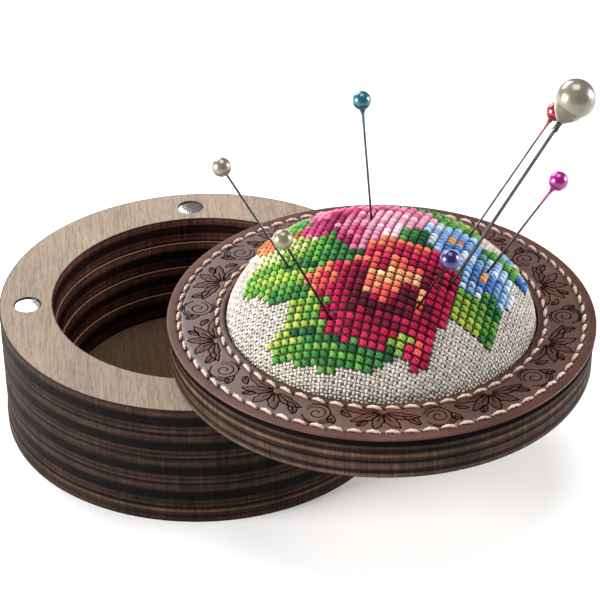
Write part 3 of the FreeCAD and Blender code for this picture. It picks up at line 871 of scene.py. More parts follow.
def saddle_stitch():
    """One stitch a millimetre long: two plies twisted together, arched, its ends in the hide."""
    plies = []
    for phase in (0, math.pi):
        t = np.linspace(0, 1, 15)
        turn = phase + 2 * math.pi * 1.5 * t
        arch = np.sin(np.pi * t) ** 0.6
        path = np.c_[t - 0.5, 0.070 * np.cos(turn) * arch,
                     -0.13 + 0.22 * arch + 0.030 * np.sin(turn)]
        plies.append(strand(path, 0.060 + 0.055 * arch, 7))
    return bundle("saddle_stitch", plies)


STITCH_SIZE = (3.0 * MM, 2.25 * MM, 2.6 * MM)
STITCH_SLANT = -0.16
WAXED_TINT = np.array((0.60, 0.44, 0.365))


def stitch_row(name, row, count, node):
    bearings = (np.arange(count) + 0.5) * 2 * math.pi / count
    places = np.c_[row * np.cos(bearings), row * np.sin(bearings),
                   np.full(count, leather_high - 0.02 * MM)]
    frames = []
    for b in bearings:
        heading = b + math.pi / 2 + STITCH_SLANT + rng.uniform(-0.05, 0.05)
        frames.append(np.array([[math.cos(heading), -math.sin(heading), 0],
                                [math.sin(heading), math.cos(heading), 0], [0, 0, 1]]))
    sizes = np.outer(rng.uniform(0.96, 1.04, count), STITCH_SIZE)
    tints = WAXED_TINT * rng.uniform(0.88, 1.08, (count, 1))
    piece = lay(name, stitch_shape, places, frames, sizes, tints, waxed)
    finish_on_lid(piece, "waxed_thread", node)


stitch_shape = saddle_stitch()
stitch_row("inner_saddle_stitches", INNER_ROW, INNER_STITCHES, "inner_stitching")
stitch_row("outer_saddle_stitches", OUTER_ROW, OUTER_STITCHES, "outer_stitching")

# %% [markdown]
# ## The cushion's form
# The cushion is two arcs that run into each other: a round roll at the edge and a flatter crown.
# Wadding pushed into a cloth cover never lies quite even, so a cloth simulation swells a
# slightly lumpy copy of the dome. We keep only how far each point moved from the ideal form,
# capped to a fraction of a millimetre, and every later piece of the cushion is moved by the
# same amounts. Where a pin goes in, the cloth is drawn down a little round it.

# %% Dome outline
ROLL = 18.25 * MM
belly_radius = span("cushion_cover").x / 2
belly_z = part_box("cushion_cover")[0].z + 0.6 * MM
roll_centre = belly_radius - ROLL
rise = crown_z - belly_z
CROWN = (roll_centre ** 2 + rise ** 2 - ROLL ** 2) / (2 * (rise - ROLL))
crown_centre = crown_z - CROWN
meet = math.degrees(math.atan2(belly_z - crown_centre, roll_centre))


def dome_outline(inset, points):
    """The dome from its widest place up to its top, as far inside the cover's face as asked."""
    share = int(points * 0.55)
    side = arc((roll_centre, belly_z), ROLL - inset, 0, meet, share)
    crown = arc((0, crown_centre), CROWN - inset, meet, 90, points - share + 1)
    return side + crown[1:-1] + [(0, crown_z - inset)]


print(f"crown radius {CROWN / MM:.2f} mm, meets the roll at {meet:.1f} degrees")

# %% Pins: where they are and where they go in
PIN_NAMES = ("white_pearl", "cream_pearl", "teal", "red", "drop_pearl", "magenta", "violet")
slides = {joint["child"]: joint for joint in frame["joints"]}


def pin_line(name):
    """A pin's direction out of the cushion, and a point on its shaft's axis."""
    direction = Vector(slides[f"{name}_pin"]["axis"]).normalized()
    if direction.z < 0:
        direction = -direction
    return direction, middle(f"{name}_pin_shaft")


def reach_along(node, direction, start):
    """How far a node's mesh reaches along a line, from and to."""
    mesh = frame["nodes"][node].data
    values = [(v.co - start).dot(direction) for v in mesh.vertices]
    return min(values), max(values)


to_lid = lid_place.inverted()
entries = []
for name in PIN_NAMES:
    direction, start = pin_line(name)
    for step in np.arange(-30, 60, 0.1):
        spot = to_lid @ (start + direction * (float(step) * MM))
        out = math.hypot(spot.x, spot.y)
        top_z = crown_centre + math.sqrt(max(CROWN ** 2 - out ** 2, 0))
        if spot.z > top_z and out < 30 * MM:
            entries.append(np.array(spot))
            break
print("pins go in at", [[round(float(v) / MM, 1) for v in spot] for spot in entries])

# %% Cloth simulation of the dome
SWAY_CAP = 0.45 * MM
LAST_MOMENT = 20


def simulated_sway():
    """Points of the ideal dome, and how far the swelling moved each one."""
    under = belly_z - 0.6 * MM
    outline = [(0, under), (belly_radius * 0.6, under), (belly_radius * 0.95, under)]
    outline += dome_outline(0.3 * MM, 26)
    form = turned("dome_form", outline, wood, steps=72)
    before = points_of(form)
    lumps = (np.sin(before[:, 0] * 310 + 0.6) * np.sin(before[:, 1] * 260 + 1.9)
             + 0.7 * np.sin(before[:, 0] * 170 - before[:, 1] * 230 + 2.2))
    held = before[:, 2] < belly_z + 1.5 * MM
    started = before.copy()
    started[:, 2] += np.where(held, 0, 0.22 * MM * lumps)
    move_points(form, started)
    group = form.vertex_groups.new(name="held")
    group.add([int(i) for i in np.flatnonzero(held)], 1.0, "REPLACE")
    cloth = form.modifiers.new("swell", "CLOTH")
    for setting, value in (("quality", 6), ("mass", 0.3), ("tension_stiffness", 25),
                           ("compression_stiffness", 25), ("bending_stiffness", 2),
                           ("use_pressure", True), ("uniform_pressure_force", 4),
                           ("vertex_group_mass", "held")):
        setattr(cloth.settings, setting, value)
    cloth.settings.effector_weights.gravity = 0
    cloth.collision_settings.use_collision = False
    cloth.point_cache.frame_start, cloth.point_cache.frame_end = 1, LAST_MOMENT
    for moment in range(1, LAST_MOMENT + 1):
        bpy.context.scene.frame_set(moment)
    settle_modifiers(form)
    bpy.context.scene.frame_set(1)
    after = points_of(form)
    bpy.data.objects.remove(form)
    moved = after - before
    length = np.linalg.norm(moved, axis=1)
    moved *= (np.minimum(length, SWAY_CAP) / np.maximum(length, 1e-9))[:, None]
    print(f"the swelling moved points by up to {length.max() / MM:.2f} mm, "
          f"capped at {SWAY_CAP / MM:.2f}")
    return before, moved


form_points, form_moves = simulated_sway()


def sway(points):
    """Move points of the ideal cushion as the swelling and the pins moved its cover."""
    points = np.array(points, float)
    moved = np.zeros_like(points)
    many = 4000
    for start in range(0, len(points), many):
        part = points[start:start + many]
        gap = ((part[:, None] - form_points[None]) ** 2).sum(-1)
        nearest = np.argsort(gap, axis=1)[:, :6]
        weight = 1 / (np.take_along_axis(gap, nearest, 1) + (0.8 * MM) ** 2)
        weight /= weight.sum(1)[:, None]
        moved[start:start + many] = (form_moves[nearest] * weight[..., None]).sum(1)
    dip, reach = 0.55 * MM, 1.7 * MM
    for spot in entries:
        away = np.linalg.norm(points - spot, axis=1)
        moved[:, 2] -= dip * np.exp(-(away / reach) ** 2)
    return points + moved


# %% [markdown]
# ## Laying the weave over the dome
# Evenweave linen bends over a dome without stretching its threads: the squares between them
# shear instead. We lay the cloth the same way. Two lines of cells run straight out from the
# top. From them each new corner is the place that is one cell from both its neighbours, found
# on the dome by Newton's method.

# %% Net of cells
CELL_U = 1.85 * MM
CELL_V = 1.62 * MM
CELLS = 27
NET_TURN = math.radians(50.25)
fine = np.array(dome_outline(0, 1600))[::-1]
drop = np.r_[fine, np.c_[np.full(300, belly_radius), belly_z - np.linspace(0.01, 8, 300) * MM]]
arc_length = np.r_[0, np.cumsum(np.linalg.norm(np.diff(drop, axis=0), axis=1))]


def on_dome(flat):
    """From a place on the cloth laid flat, in metres, to the dome, in the lid's frame."""
    reach = np.hypot(flat[0], flat[1]) + 1e-12
    out = np.interp(reach, arc_length, drop[:, 0])
    return np.array((out * flat[0] / reach, out * flat[1] / reach,
                     np.interp(reach, arc_length, drop[:, 1])))


def lay_net():
    net = {(0, 0): np.zeros(2)}
    for k in range(1, CELLS + 1):
        for sign in (1, -1):
            net[sign * k, 0] = np.array((sign * k * CELL_U, 0.0))
            net[0, sign * k] = np.array((0.0, sign * k * CELL_V))
    tiny = 1e-7
    steps = range(1, CELLS + 1)
    for su, sv, a, b in product((1, -1), (1, -1), steps, steps):
        beside, below = net.get((su * a, sv * (b - 1))), net.get((su * (a - 1), sv * b))
        corner = net.get((su * (a - 1), sv * (b - 1)))
        if beside is None or below is None or corner is None:
            continue
        guess = beside + below - corner
        from_beside, from_below = on_dome(beside), on_dome(below)
        for _ in range(5):
            here = on_dome(guess)
            slope = np.stack([(on_dome(guess + (tiny, 0)) - here) / tiny,
                              (on_dome(guess + (0, tiny)) - here) / tiny], 1)
            da, db = here - from_beside, here - from_below
            la, lb = np.linalg.norm(da), np.linalg.norm(db)
            miss = np.array((la - CELL_V, lb - CELL_U))
            matrix = np.stack([da / la @ slope, db / lb @ slope])
            if abs(np.linalg.det(matrix)) < 1e-4:
                break
            guess = guess - np.clip(np.linalg.solve(matrix, miss), -MM, MM)
        if np.hypot(*guess) < arc_length[-1] and abs(miss).max() < 0.05 * MM:
            net[su * a, sv * b] = guess
    return net


net = lay_net()
spin = np.array([[math.cos(NET_TURN), -math.sin(NET_TURN), 0],
                 [math.sin(NET_TURN), math.cos(NET_TURN), 0], [0, 0, 1]])
corners = {key: spin @ on_dome(flat) for key, flat in net.items()}


def cell_frame(i, j):
    """A cell's middle, its two sides and its outward direction, or None off the dome."""
    four = [corners.get(key) for key in ((i, j), (i + 1, j), (i, j + 1), (i + 1, j + 1))]
    if any(corner is None for corner in four):
        return None
    a, b, c, d = four
    u, v = (b + d - a - c) / 2, (c + d - a - b) / 2
    out = np.cross(u, v)
    return (a + b + c + d) / 4, u, v, out / np.linalg.norm(out)


TUCKED = 1.3 * MM
cells = {}
for i, j in product(range(-CELLS, CELLS), repeat=2):
    found = cell_frame(i, j)
    if found and found[0][2] > leather_high - TUCKED:
        cells[i, j] = found
print(f"{len(cells)} cells lie on the dome above the leather")

# %% [markdown]
# ## The picture in the cloth
# The picture is flowers and leaves, drawn as overlapping petals on the squared cloth. Each
# petal is an oval with a list of floss colours, from its shadow to its lit lip, and a direction
# in which it lightens. Later petals cover earlier ones. A little chance in the choice of
# shade stands for the dyer's uneven floss.

# %% Floss colours
FLOSS = {
    "wine": "4f0a24", "garnet": "7a0c30", "crimson": "a3123f", "scarlet": "bf2350",
    "coral": "d9524f", "salmon": "e2785a", "peach": "e5a072", "straw": "e6bd8c",
    "plum": "8e2450", "fuchsia": "b63c6a", "rose": "d06a90", "pink": "db8aa8",
    "blush": "e4a6bb", "petal": "eec6d2",
    "forest": "1d5232", "moss": "377a3f", "grass": "5a9c40", "leaf": "76a646",
    "lime": "9db54c", "primrose": "c3cc94", "fern": "7d9f66",
    "navy": "254a85", "royal": "4a78ba", "azure": "7ba5d5", "sky": "a6c4e4", "ice": "d5e1ef",
    "copper": "a9623c", "amber": "dd9a5c", "gold": "d8c067",
}


def linear(code):
    parts = [int(code[k:k + 2], 16) / 255 for k in (0, 2, 4)]
    return np.array([p / 12.92 if p <= 0.04045 else ((p + 0.055) / 1.055) ** 2.4 for p in parts])


# %% Petals: piece, middle and half sizes in cells, tilt, direction of light, shades dark to light
PETALS = [
    # leaves at the back and sides
    ("leaves", (6.3, 10.5), (3.2, 4.2), 0, 90, "moss grass leaf fern lime"),
    ("leaves", (1.5, 12.5), (5.0, 2.0), 0, 90, "forest moss fern"),
    ("leaves", (-12.0, 5.6), (2.6, 5.0), 24, 180, "moss grass fern leaf"),
    ("copper", (-15.3, 2.2), (1.3, 4.6), 26, 0, "copper amber salmon"),
    ("copper", (-9.6, 0.6), (1.6, 1.2), 0, 0, "copper amber"),
    ("leaves", (-9.6, -3.7), (6.2, 3.5), 6, 150, "grass leaf lime primrose primrose"),
    ("leaves", (-11.2, -7.0), (5.2, 2.9), -14, 90, "grass leaf leaf lime"),
    ("leaves", (-9.0, -9.4), (4.2, 2.6), -22, 90, "moss grass leaf lime"),
    ("leaves", (-9.8, -5.8), (6.4, 0.7), -6, 0, "grass moss forest"),
    ("leaves", (-4.6, -3.7), (2.5, 3.5), 12, 200, "forest moss moss grass"),
    ("leaves", (-5.0, -14.6), (3.3, 3.2), 20, 140, "moss grass leaf lime"),
    ("leaves", (-5.8, -17.6), (3.9, 2.7), 0, 140, "moss grass leaf lime lime"),
    ("leaves", (-1.6, -19.0), (5.2, 2.6), 0, 90, "grass moss grass leaf"),
    ("leaves", (2.4, -18.2), (2.6, 2.3), 0, 200, "forest moss moss grass"),
    ("leaves", (-3.4, -17.3), (5.4, 0.6), -16, 0, "forest moss forest"),
    ("leaves", (12.8, -6.6), (3.1, 3.4), 0, 240, "moss grass leaf lime"),
    ("leaves", (12.4, -8.6), (2.3, 1.6), 0, 240, "leaf lime lime"),
    ("leaves", (15.0, -8.2), (1.1, 2.2), 0, 90, "moss grass leaf"),
    ("leaves", (3.9, 0.3), (2.2, 3.2), 20, 180, "forest forest moss grass"),
    ("leaves", (12.0, 3.6), (1.1, 3.2), -14, 90, "forest moss grass"),
    ("leaves", (14.6, 5.9), (2.4, 1.8), -20, 90, "moss grass leaf"),
    ("blue_flowers", (14.2, 8.2), (1.0, 1.2), 0, 90, "royal azure royal"),
    ("blue_flowers", (16.9, 5.3), (1.0, 1.8), 0, 90, "navy royal azure"),
    # pink flower: outer petals, then the pale heart
    ("pink_flower", (-7.6, 1.6), (2.9, 2.6), 20, 200, "plum fuchsia fuchsia rose"),
    ("pink_flower", (-6.9, 6.2), (3.4, 4.4), 18, 160, "plum fuchsia rose pink"),
    ("pink_flower", (-2.4, 8.7), (4.4, 2.9), 8, 90, "fuchsia rose pink rose"),
    ("pink_flower", (2.2, 6.2), (2.3, 4.2), -6, 0, "fuchsia rose pink blush"),
    ("pink_flower", (-5.4, 4.5), (1.5, 2.4), 12, 90, "plum plum fuchsia"),
    ("pink_flower", (-2.2, -1.6), (3.0, 2.1), -20, 330, "plum fuchsia rose rose"),
    ("pink_flower", (0.2, -2.6), (2.2, 1.9), 0, 0, "pink blush petal"),
    ("pink_flower", (-0.6, 3.8), (3.9, 3.6), 0, 20, "rose pink blush petal blush"),
    ("pink_flower", (1.0, 0.6), (3.0, 2.1), 0, 0, "pink blush petal blush"),
    ("pink_flower", (-3.6, 1.0), (2.0, 1.9), 0, 90, "fuchsia rose pink"),
    # blue flowers
    ("blue_flowers", (5.9, 4.9), (2.0, 2.0), 0, 130, "azure sky ice"),
    ("blue_flowers", (8.6, 6.0), (2.0, 1.9), 0, 90, "royal azure sky"),
    ("blue_flowers", (10.0, 3.4), (1.6, 1.8), 0, 0, "royal azure azure"),
    ("blue_flowers", (8.2, 0.6), (2.3, 1.9), 0, 270, "royal azure sky"),
    ("blue_flowers", (5.2, 2.0), (1.9, 1.7), 0, 180, "azure sky ice"),
    ("blue_flowers", (7.6, 3.2), (2.1, 1.7), 0, 90, "royal azure azure"),
    ("blue_flowers", (7.8, 3.3), (1.0, 0.9), 0, 0, "amber salmon gold"),
    ("blue_flowers", (10.7, 0.6), (1.8, 1.7), 0, 130, "azure sky ice"),
    ("blue_flowers", (13.7, 2.3), (1.9, 2.2), 0, 60, "azure sky ice sky"),
    ("blue_flowers", (15.2, -1.4), (1.7, 2.3), 0, 0, "royal azure sky ice"),
    ("blue_flowers", (11.2, -3.0), (1.9, 2.1), 20, 240, "royal azure sky ice"),
    ("blue_flowers", (12.7, -0.8), (1.9, 1.7), 0, 90, "royal royal azure"),
    ("blue_flowers", (12.6, -1.0), (1.0, 1.0), 0, 0, "amber gold gold"),
    ("leaves", (3.5, 0.9), (1.7, 2.7), -24, 180, "forest forest moss grass"),
    # rose: back petals, side petals, front petals, heart
    ("rose", (3.4, -3.6), (4.7, 2.9), 0, 110, "garnet crimson scarlet coral salmon"),
    ("rose", (7.3, -4.6), (2.7, 3.0), -20, 60, "wine garnet crimson scarlet"),
    ("rose", (-2.6, -8.7), (4.1, 3.2), 12, 150, "garnet crimson scarlet coral salmon"),
    ("rose", (7.7, -9.4), (2.5, 4.4), 0, 0, "wine garnet crimson crimson scarlet"),
    ("rose", (-0.2, -13.8), (3.6, 3.9), 10, 250, "wine garnet crimson scarlet scarlet"),
    ("rose", (5.0, -13.0), (4.2, 3.2), 20, 290, "wine garnet crimson crimson scarlet"),
    ("rose", (2.6, -15.6), (3.2, 2.1), 6, 270, "garnet crimson scarlet"),
    ("rose", (-1.0, -10.4), (1.9, 3.3), -10, 180, "wine garnet crimson"),
    ("rose", (1.8, -6.2), (4.6, 1.7), 4, 100, "garnet crimson coral salmon"),
    ("rose", (2.9, -9.0), (3.3, 2.8), 10, 120, "crimson coral salmon peach peach"),
    ("rose", (3.6, -7.6), (2.7, 1.5), 14, 90, "salmon peach straw"),
    ("rose", (5.4, -9.3), (1.4, 1.8), 10, 40, "wine wine garnet peach"),
    ("rose", (3.2, -12.4), (3.4, 1.0), 10, 90, "wine wine garnet"),
    ("rose", (6.3, -11.0), (0.9, 0.8), 0, 0, "coral salmon"),
    # bud
    ("leaves", (6.1, -16.4), (1.7, 1.7), 0, 90, "leaf lime primrose"),
    ("bud", (7.6, -17.0), (1.4, 1.9), -20, 120, "crimson scarlet coral"),
]
chance = np.random.default_rng(11)
picture = {}
for i, j in cells:
    luck = chance.uniform(-0.28, 0.28)
    edge_luck = chance.uniform(-0.10, 0.10)
    for group, (ci, cj), (ri, rj), tilt, light, shades in PETALS:
        di, dj = i + 0.5 - ci, j + 0.5 - cj
        c, s = math.cos(math.radians(tilt)), math.sin(math.radians(tilt))
        across, up = (di * c + dj * s) / ri, (-di * s + dj * c) / rj
        if across ** 2 + up ** 2 < 1 + edge_luck:
            lit = di * math.cos(math.radians(light)) / ri + dj * math.sin(math.radians(light)) / rj
            shades = shades.split()
            pick = int(np.clip((0.5 + 0.5 * lit + luck) * len(shades), 0, len(shades) - 1))
            picture[i, j] = (group, shades[pick])
for _ in range(2):
    for i, j in list(cells):
        beside = [picture[key] for key in ((i + 1, j), (i - 1, j), (i, j + 1), (i, j - 1))
                  if key in picture]
        if (i, j) not in picture and len(beside) >= 3:
            picture[i, j] = beside[int(chance.integers(len(beside)))]
print(f"{len(picture)} cross stitches:", {g: sum(1 for v in picture.values() if v[0] == g)
                                          for g in sorted({v[0] for v in picture.values()})})

# %% [markdown]
# ### Cross stitches
# Each stitch is two legs that cross, the upper one over the lower, and each leg is two strands
# of cotton lying side by side. It swells out of the cloth as worn-in stitches do.

# %% Cross stitch shape and pieces
def cross_stitch():
    """One stitch on a cell one unit wide and deep."""
    strands = []
    t = np.linspace(0, 1, 7)
    swell = np.sin(np.pi * t)
    for (leg, lift), side in product(((1, 0.00), (-1, 0.11)), (-1, 1)):
        bow = side * (0.030 + 0.105 * swell) * math.sqrt(0.5)
        x = (t - 0.5) * 0.93 - bow * leg
        y = (t - 0.5) * 0.86 * leg + bow
        z = -0.12 + (0.33 + lift) * swell ** 0.75
        strands.append(strand(np.c_[x, y, z], 0.080 + 0.060 * swell))
    return bundle("cross_stitch", strands)


def cross_stitches(group):
    chosen = [key for key, value in picture.items() if value[0] == group]
    frames, sizes, tints = [], [], []
    for key in chosen:
        _, u, _, out = cells[key]
        ahead = u / np.linalg.norm(u)
        side = np.cross(out, ahead)
        wobble = chance.uniform(-0.07, 0.07)
        ahead, side = (ahead * math.cos(wobble) + side * math.sin(wobble),
                       side * math.cos(wobble) - ahead * math.sin(wobble))
        frames.append(np.stack([ahead, side, out], 1))
        sizes.append(np.array((CELL_U, CELL_V, CELL_U)) * chance.uniform(0.95, 1.06))
        tints.append(linear(FLOSS[picture[key][1]]) * chance.uniform(0.80, 1.18))
    places = sway([cells[key][0] for key in chosen])
    piece = lay(f"cross_stitched_{group}", cross_shape, places, frames, sizes, tints, cotton)
    finish_on_lid(piece, "cotton_thread")


# the last number darkens the floss where it dives between stitches: painted shade
cotton = thread_material("cotton_floss", ((0.62, 0.60, 0.60), (1.18, 1.18, 1.18)), 0.12, 4200, 0.6,
                         0.74)
cross_shape = cross_stitch()
for group in ("rose", "pink_flower", "blue_flowers", "leaves", "bud", "copper"):
    cross_stitches(group)

# %% [markdown]
# ### Linen threads
# The bare cloth is plain weave, two threads each way to a cell. Where a thread passes over, a
# short plump pill of thread shows; where it passes under, its neighbour covers it. The threads
# of a cell lie close in a pair, so a small hole shows at every corner of the cells, dark with
# the cover's painted shade.

# %% Linen threads
def pill():
    t = np.linspace(0, 1, 5)
    rise = np.sin(np.pi * t) ** 0.7
    path = np.c_[(t - 0.5) * 0.94, 0 * t, -0.16 + 0.22 * rise]
    return bundle("linen_pill", [strand(path, 0.15 + 0.09 * rise, 6, 0.62)])


# the last number darkens the linen where it dives under its neighbours: painted shade
linen = thread_material("linen_thread", ((0.66, 0.64, 0.61), (1.14, 1.13, 1.12)), 0.10, 3600, 0.6,
                        0.45)
pill_shape = pill()
THREAD_AT = (0.31 - 0.5, 0.69 - 0.5)
LINEN_TINT = np.array((0.56, 0.515, 0.47))
places, frames, sizes, tints = [], [], [], []
for key, (centre, u, v, out) in cells.items():
    if key in picture:
        continue
    for a, b in product(range(2), repeat=2):
        # one thread in two passes over, and its pill is shifted outwards along it
        along_u = (a + b) % 2
        ahead, across, outward = (u, v, a) if along_u else (v, u, b)
        at = centre + u * THREAD_AT[a] + v * THREAD_AT[b] + ahead * (outward - 0.5) * 0.22
        sink = 0.10 * MM if at[2] < leather_high + 1.0 * MM else 0.0
        places.append(at - out * sink)
        length, width = np.linalg.norm(ahead) / 2, np.linalg.norm(across) / 2
        ahead = ahead / np.linalg.norm(ahead)
        frames.append(np.stack([ahead, np.cross(out, ahead), out], 1))
        thick = chance.uniform(0.85, 1.18)
        broad = 1.46 if along_u else 1.66
        sizes.append((length * 1.44, width * broad * thick, 0.85 * MM * thick))
        tints.append(LINEN_TINT * chance.uniform(0.72, 1.14))
piece = lay("linen_threads", pill_shape, sway(places), frames, sizes, tints, linen)
finish_on_lid(piece, "evenweave_linen")

# %% [markdown]
# ### Cover, wadding and board
# Under the threads is the cover itself, a closed skin of cloth that turns in below the cushion
# and is drawn together with a running thread. Its face is painted dark: a painted shade for the
# gaps between the threads. The wadding and the board inside are finished too, since they show
# when the lid is taken apart.

# %% Cover
# the cover is painted near black, a painted shade for what shows between the threads
ground, nodes = new_material("linen_backing_painted_shade", Roughness=0.9)
fuzz = nodes.noise(2400, detail=3)
nodes.shade(Base_Color=nodes.ramp(fuzz, [(0.3, (0.030, 0.025, 0.021)), (0.7, (0.085, 0.072, 0.060))]),
            Normal=nodes.bump(fuzz, 0.6, 0.08 * MM))

cover_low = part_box("cushion_cover")[0].z
THICK = 0.8 * MM
hem = belly_radius - 17.4 * MM


def roll_out_at(z, inset):
    return roll_centre + math.sqrt((ROLL - inset) ** 2 - (z - belly_z) ** 2)


hem_inside = cover_low + THICK
roll_inside = roll_out_at(hem_inside, THICK) - 0.4 * MM
outline = [(hem, cover_low + 0.05 * MM)]
outline += [(r, cover_low) for r in np.linspace(hem + 0.3 * MM, roll_out_at(cover_low, 0), 12)]
outline += dome_outline(0.03 * MM, 60) + dome_outline(THICK, 60)[::-1]
outline += [(r, hem_inside) for r in np.linspace(roll_inside, hem + 0.3 * MM, 12)]
outline += [(hem, hem_inside - 0.05 * MM)]
cover = turned("linen_cushion_cover", outline, ground, steps=192)
move_points(cover, sway(points_of(cover)))
finish_on_lid(cover, "evenweave_linen", "cushion_cover")

# %% Wadding, board and gathering thread
wool, nodes = new_material("wool_wadding", Roughness=0.95, Sheen_Weight=0.5)
fluff = nodes.noise(420, detail=6, roughness=0.75)
nodes.shade(Base_Color=nodes.ramp(fluff, [(0.3, (0.62, 0.58, 0.50)), (0.7, (0.86, 0.83, 0.77))]),
            Normal=nodes.bump(fluff, 0.9, 0.6 * MM))
board_radius = span("cushion_board").x / 2
board_low, board_high = (corner.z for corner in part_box("cushion_board"))
lip = roll_out_at(board_low, THICK + 0.03 * MM) - 0.3 * MM
beside_board = board_radius + 0.05 * MM
outline = [(beside_board, board_low + 0.02 * MM), (lip, board_low + 0.02 * MM)]
outline += dome_outline(THICK + 0.05 * MM, 48)
outline += [(0, board_high + 0.03 * MM), (beside_board, board_high + 0.03 * MM)]
filling = turned("wool_filling", outline, wool, steps=96)
move_points(filling, sway(points_of(filling)))
finish_on_lid(filling, "wadding", "cushion_filling")

card, nodes = new_material("pale_board", Roughness=0.8)
flecks = nodes.noise(800, (1, 0.3, 1), detail=4)
nodes.shade(Base_Color=nodes.ramp(flecks, [(0.35, (0.44, 0.33, 0.21)), (0.65, (0.60, 0.47, 0.32))]),
            Normal=nodes.bump(flecks, 0.4, 0.08 * MM))
soft = 0.3 * MM
outline = [(0, board_low)] + arc((board_radius - soft, board_low + soft), soft, -90, 0, 4)
outline += arc((board_radius - soft, board_high - soft), soft, 0, 90, 4) + [(0, board_high)]
finish_piece(turned("cushion_base_board", outline, card, lid_place, 128), "lid", "pale_board",
             "cushion_board")

thread_radius = span("gathering_thread").z / 2
ring_radius = span("gathering_thread").x / 2 - thread_radius
outline = arc((ring_radius, middle("gathering_thread").z), thread_radius * 0.98, 0, 345, 12)
gather = turned("gathering_running_thread", outline, cotton, steps=240,
                colours=[(0.7, 0.66, 0.6)] * 12)
points = points_of(gather)
ripple = np.sin(60 * np.arctan2(points[:, 1], points[:, 0]))
points[:, :2] *= 1 + 0.0012 * ripple[:, None]
move_points(gather, points)
finish_on_lid(gather, "cotton_thread", "gathering_thread")

# %% [markdown]
# ## Pins
# Seven pins stand in the cushion. The shafts are drawn steel wire, ground to a point. The small
# heads are glass or pearl beads with a glossy coat; three of them run down the wire in a neck
# of the same colour. The large pin carries a drop pearl on a steel collar.

# %% Pin materials
steel, nodes = new_material("pin_steel", Metallic=1.0, Coat_Weight=0.35, Coat_Roughness=0.1)
draw = nodes.noise(1600, (1, 1, 0.05), detail=4)
nodes.shade(Base_Color=nodes.ramp(draw, [(0.3, (0.018, 0.017, 0.016)), (0.7, (0.065, 0.061, 0.058))]),
            Roughness=nodes.ramp(draw, [(0.3, 0.26), (0.7, 0.17)]))


def bead_material(name, dark, light, metallic):
    """A lacquered bead: colour that drifts slightly, and a glossy clear coat over it."""
    material, nodes = new_material(name, Metallic=metallic, Coat_Weight=1.0, Coat_Roughness=0.06)
    drift = nodes.noise(420, detail=2)
    nodes.shade(Base_Color=nodes.ramp(drift, [(0.3, dark), (0.7, light)]),
                Roughness=nodes.ramp(drift, [(0.3, 0.42), (0.7, 0.30)]))
    return material


# slot, dark and light colour, and how metallic
BEAD_LOOKS = {
    "white_pearl": ("pearl_white", (0.155, 0.135, 0.100), (0.225, 0.200, 0.155), 0.45),
    "cream_pearl": ("pearl_cream", (0.16, 0.140, 0.075), (0.23, 0.205, 0.115), 0.45),
    "teal": ("bead_teal", (0.002, 0.070, 0.10), (0.003, 0.105, 0.135), 0.45),
    "red": ("bead_red", (0.16, 0.002, 0.012), (0.25, 0.004, 0.020), 0.4),
    "magenta": ("bead_magenta", (0.22, 0.002, 0.13), (0.31, 0.004, 0.19), 0.5),
    "violet": ("bead_violet", (0.012, 0.003, 0.085), (0.022, 0.005, 0.13), 0.5),
}
BEADS = {pin: (look[0], bead_material(*look)) for pin, look in BEAD_LOOKS.items()}
BEADS["drop_pearl"] = BEADS["white_pearl"]
print("bead slots:", sorted({slot for slot, _ in BEADS.values()}))

# %% Pin shapes
WIRE, THICK_WIRE = 0.25 * MM, 0.36 * MM
BALL = 2 * MM
DROP_BALL, DROP_TAIL, DROP_FLANK = 3.9 * MM, 1.5 * MM, 0.28 * MM


def thin_shaft(low, high, radius=WIRE):
    """A wire with a ground point below."""
    tip = 3 * MM
    outline = [(0, low), (0.02 * MM, low + 0.05 * MM)]
    outline += [(radius * (1 - (1 - t) ** 1.7), low + tip * t) for t in np.linspace(0.12, 1, 7)]
    outline += [(radius, z) for z in np.linspace(low + tip, high - 0.05 * MM, 12)[1:]]
    return outline + [(radius - 0.05 * MM, high), (0, high)]


def thick_shaft(low, high):
    return thin_shaft(low, high, THICK_WIRE)


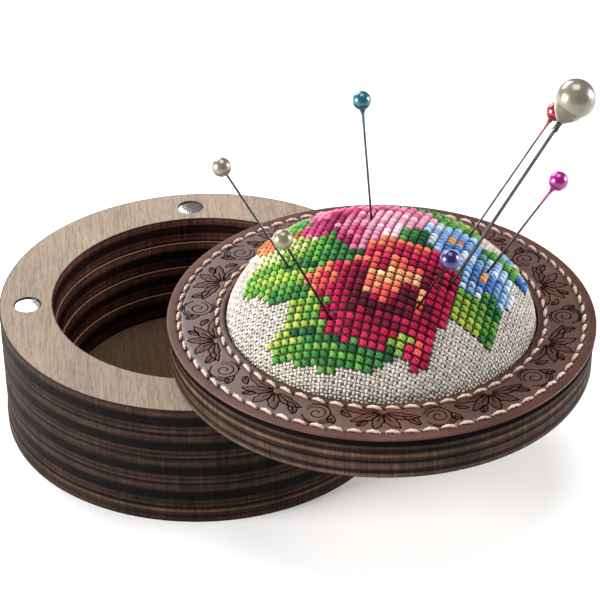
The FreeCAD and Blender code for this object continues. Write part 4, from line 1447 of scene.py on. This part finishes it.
def drop_outline(low, high):
    """A drop: a ball above, full flanks, and a small rounded tail below."""
    centre, tail_centre = high - DROP_BALL, low + DROP_TAIL
    lean = math.degrees(math.asin((DROP_BALL - DROP_TAIL) / (centre - tail_centre)))
    lower = arc((0, tail_centre), DROP_TAIL, -90, -lean, 10)
    upper = arc((0, centre), DROP_BALL, -lean, 90, 30)
    (r0, z0), (r1, z1) = lower[-1], upper[0]
    between = [(r0 + (r1 - r0) * t + DROP_FLANK * math.sin(math.pi * t), z0 + (z1 - z0) * t)
               for t in np.linspace(0, 1, 11)[1:-1]]
    return [(0, low)] + lower[1:] + between + upper[:-1] + [(0, high)]


def ball_outline(low, high):
    """A ball, and where the head is longer than that, a neck that runs down the wire."""
    centre = high - BALL
    if centre - low < 1.2 * BALL:
        return [(0, centre - BALL)] + arc((0, centre), BALL, -90, 90, 40)[1:-1] + [(0, high)]
    neck = WIRE + 0.04 * MM
    ball = arc((0, centre), BALL, -68, 90, 30)
    meet_radius, meet_z = ball[0]
    outline = [(0, low), (neck - 0.03 * MM, low + 0.02 * MM), (neck, low + 0.3 * MM)]
    outline += [(neck + (meet_radius - neck) * t ** 9 + 0.06 * MM * t, low + (meet_z - low) * t)
                for t in np.linspace(0.15, 0.97, 16)]
    return outline + ball[:-1] + [(0, high)]


def collar_outline(low, high):
    radius = 0.62 * MM
    return [(0, low), (radius - 0.12 * MM, low), (radius, low + 0.15 * MM),
            (radius * 0.9, (low + high) / 2), (radius, high - 0.12 * MM),
            (radius - 0.1 * MM, high), (0, high)]


# %% Pins
def pin_part(name, pin, node, shape, material, slot, steps):
    """Turn one part of a pin about the pin's own line, from end to end of its node."""
    direction, start = pin_line(pin)
    place = Matrix.Translation(start) @ direction.to_track_quat("Z", "Y").to_matrix().to_4x4()
    outline = shape(*reach_along(node, direction, start))
    finish_piece(turned(name, outline, material, place, steps), f"{pin}_pin", slot, node)


for pin in PIN_NAMES:
    head_shape = drop_outline if pin == "drop_pearl" else ball_outline
    shaft_shape = thick_shaft if pin == "drop_pearl" else thin_shaft
    slot, bead = BEADS[pin]
    pin_part(f"{pin}_pin_wire", pin, f"{pin}_pin_shaft", shaft_shape, steel, "pin_steel", 20)
    pin_part(f"{pin}_pin_bead", pin, f"{pin}_pin_head", head_shape, bead, slot, 56)
pin_part("drop_pearl_collar", "drop_pearl", "drop_pearl_pin_collar", collar_outline, steel,
         "pin_steel", 32)
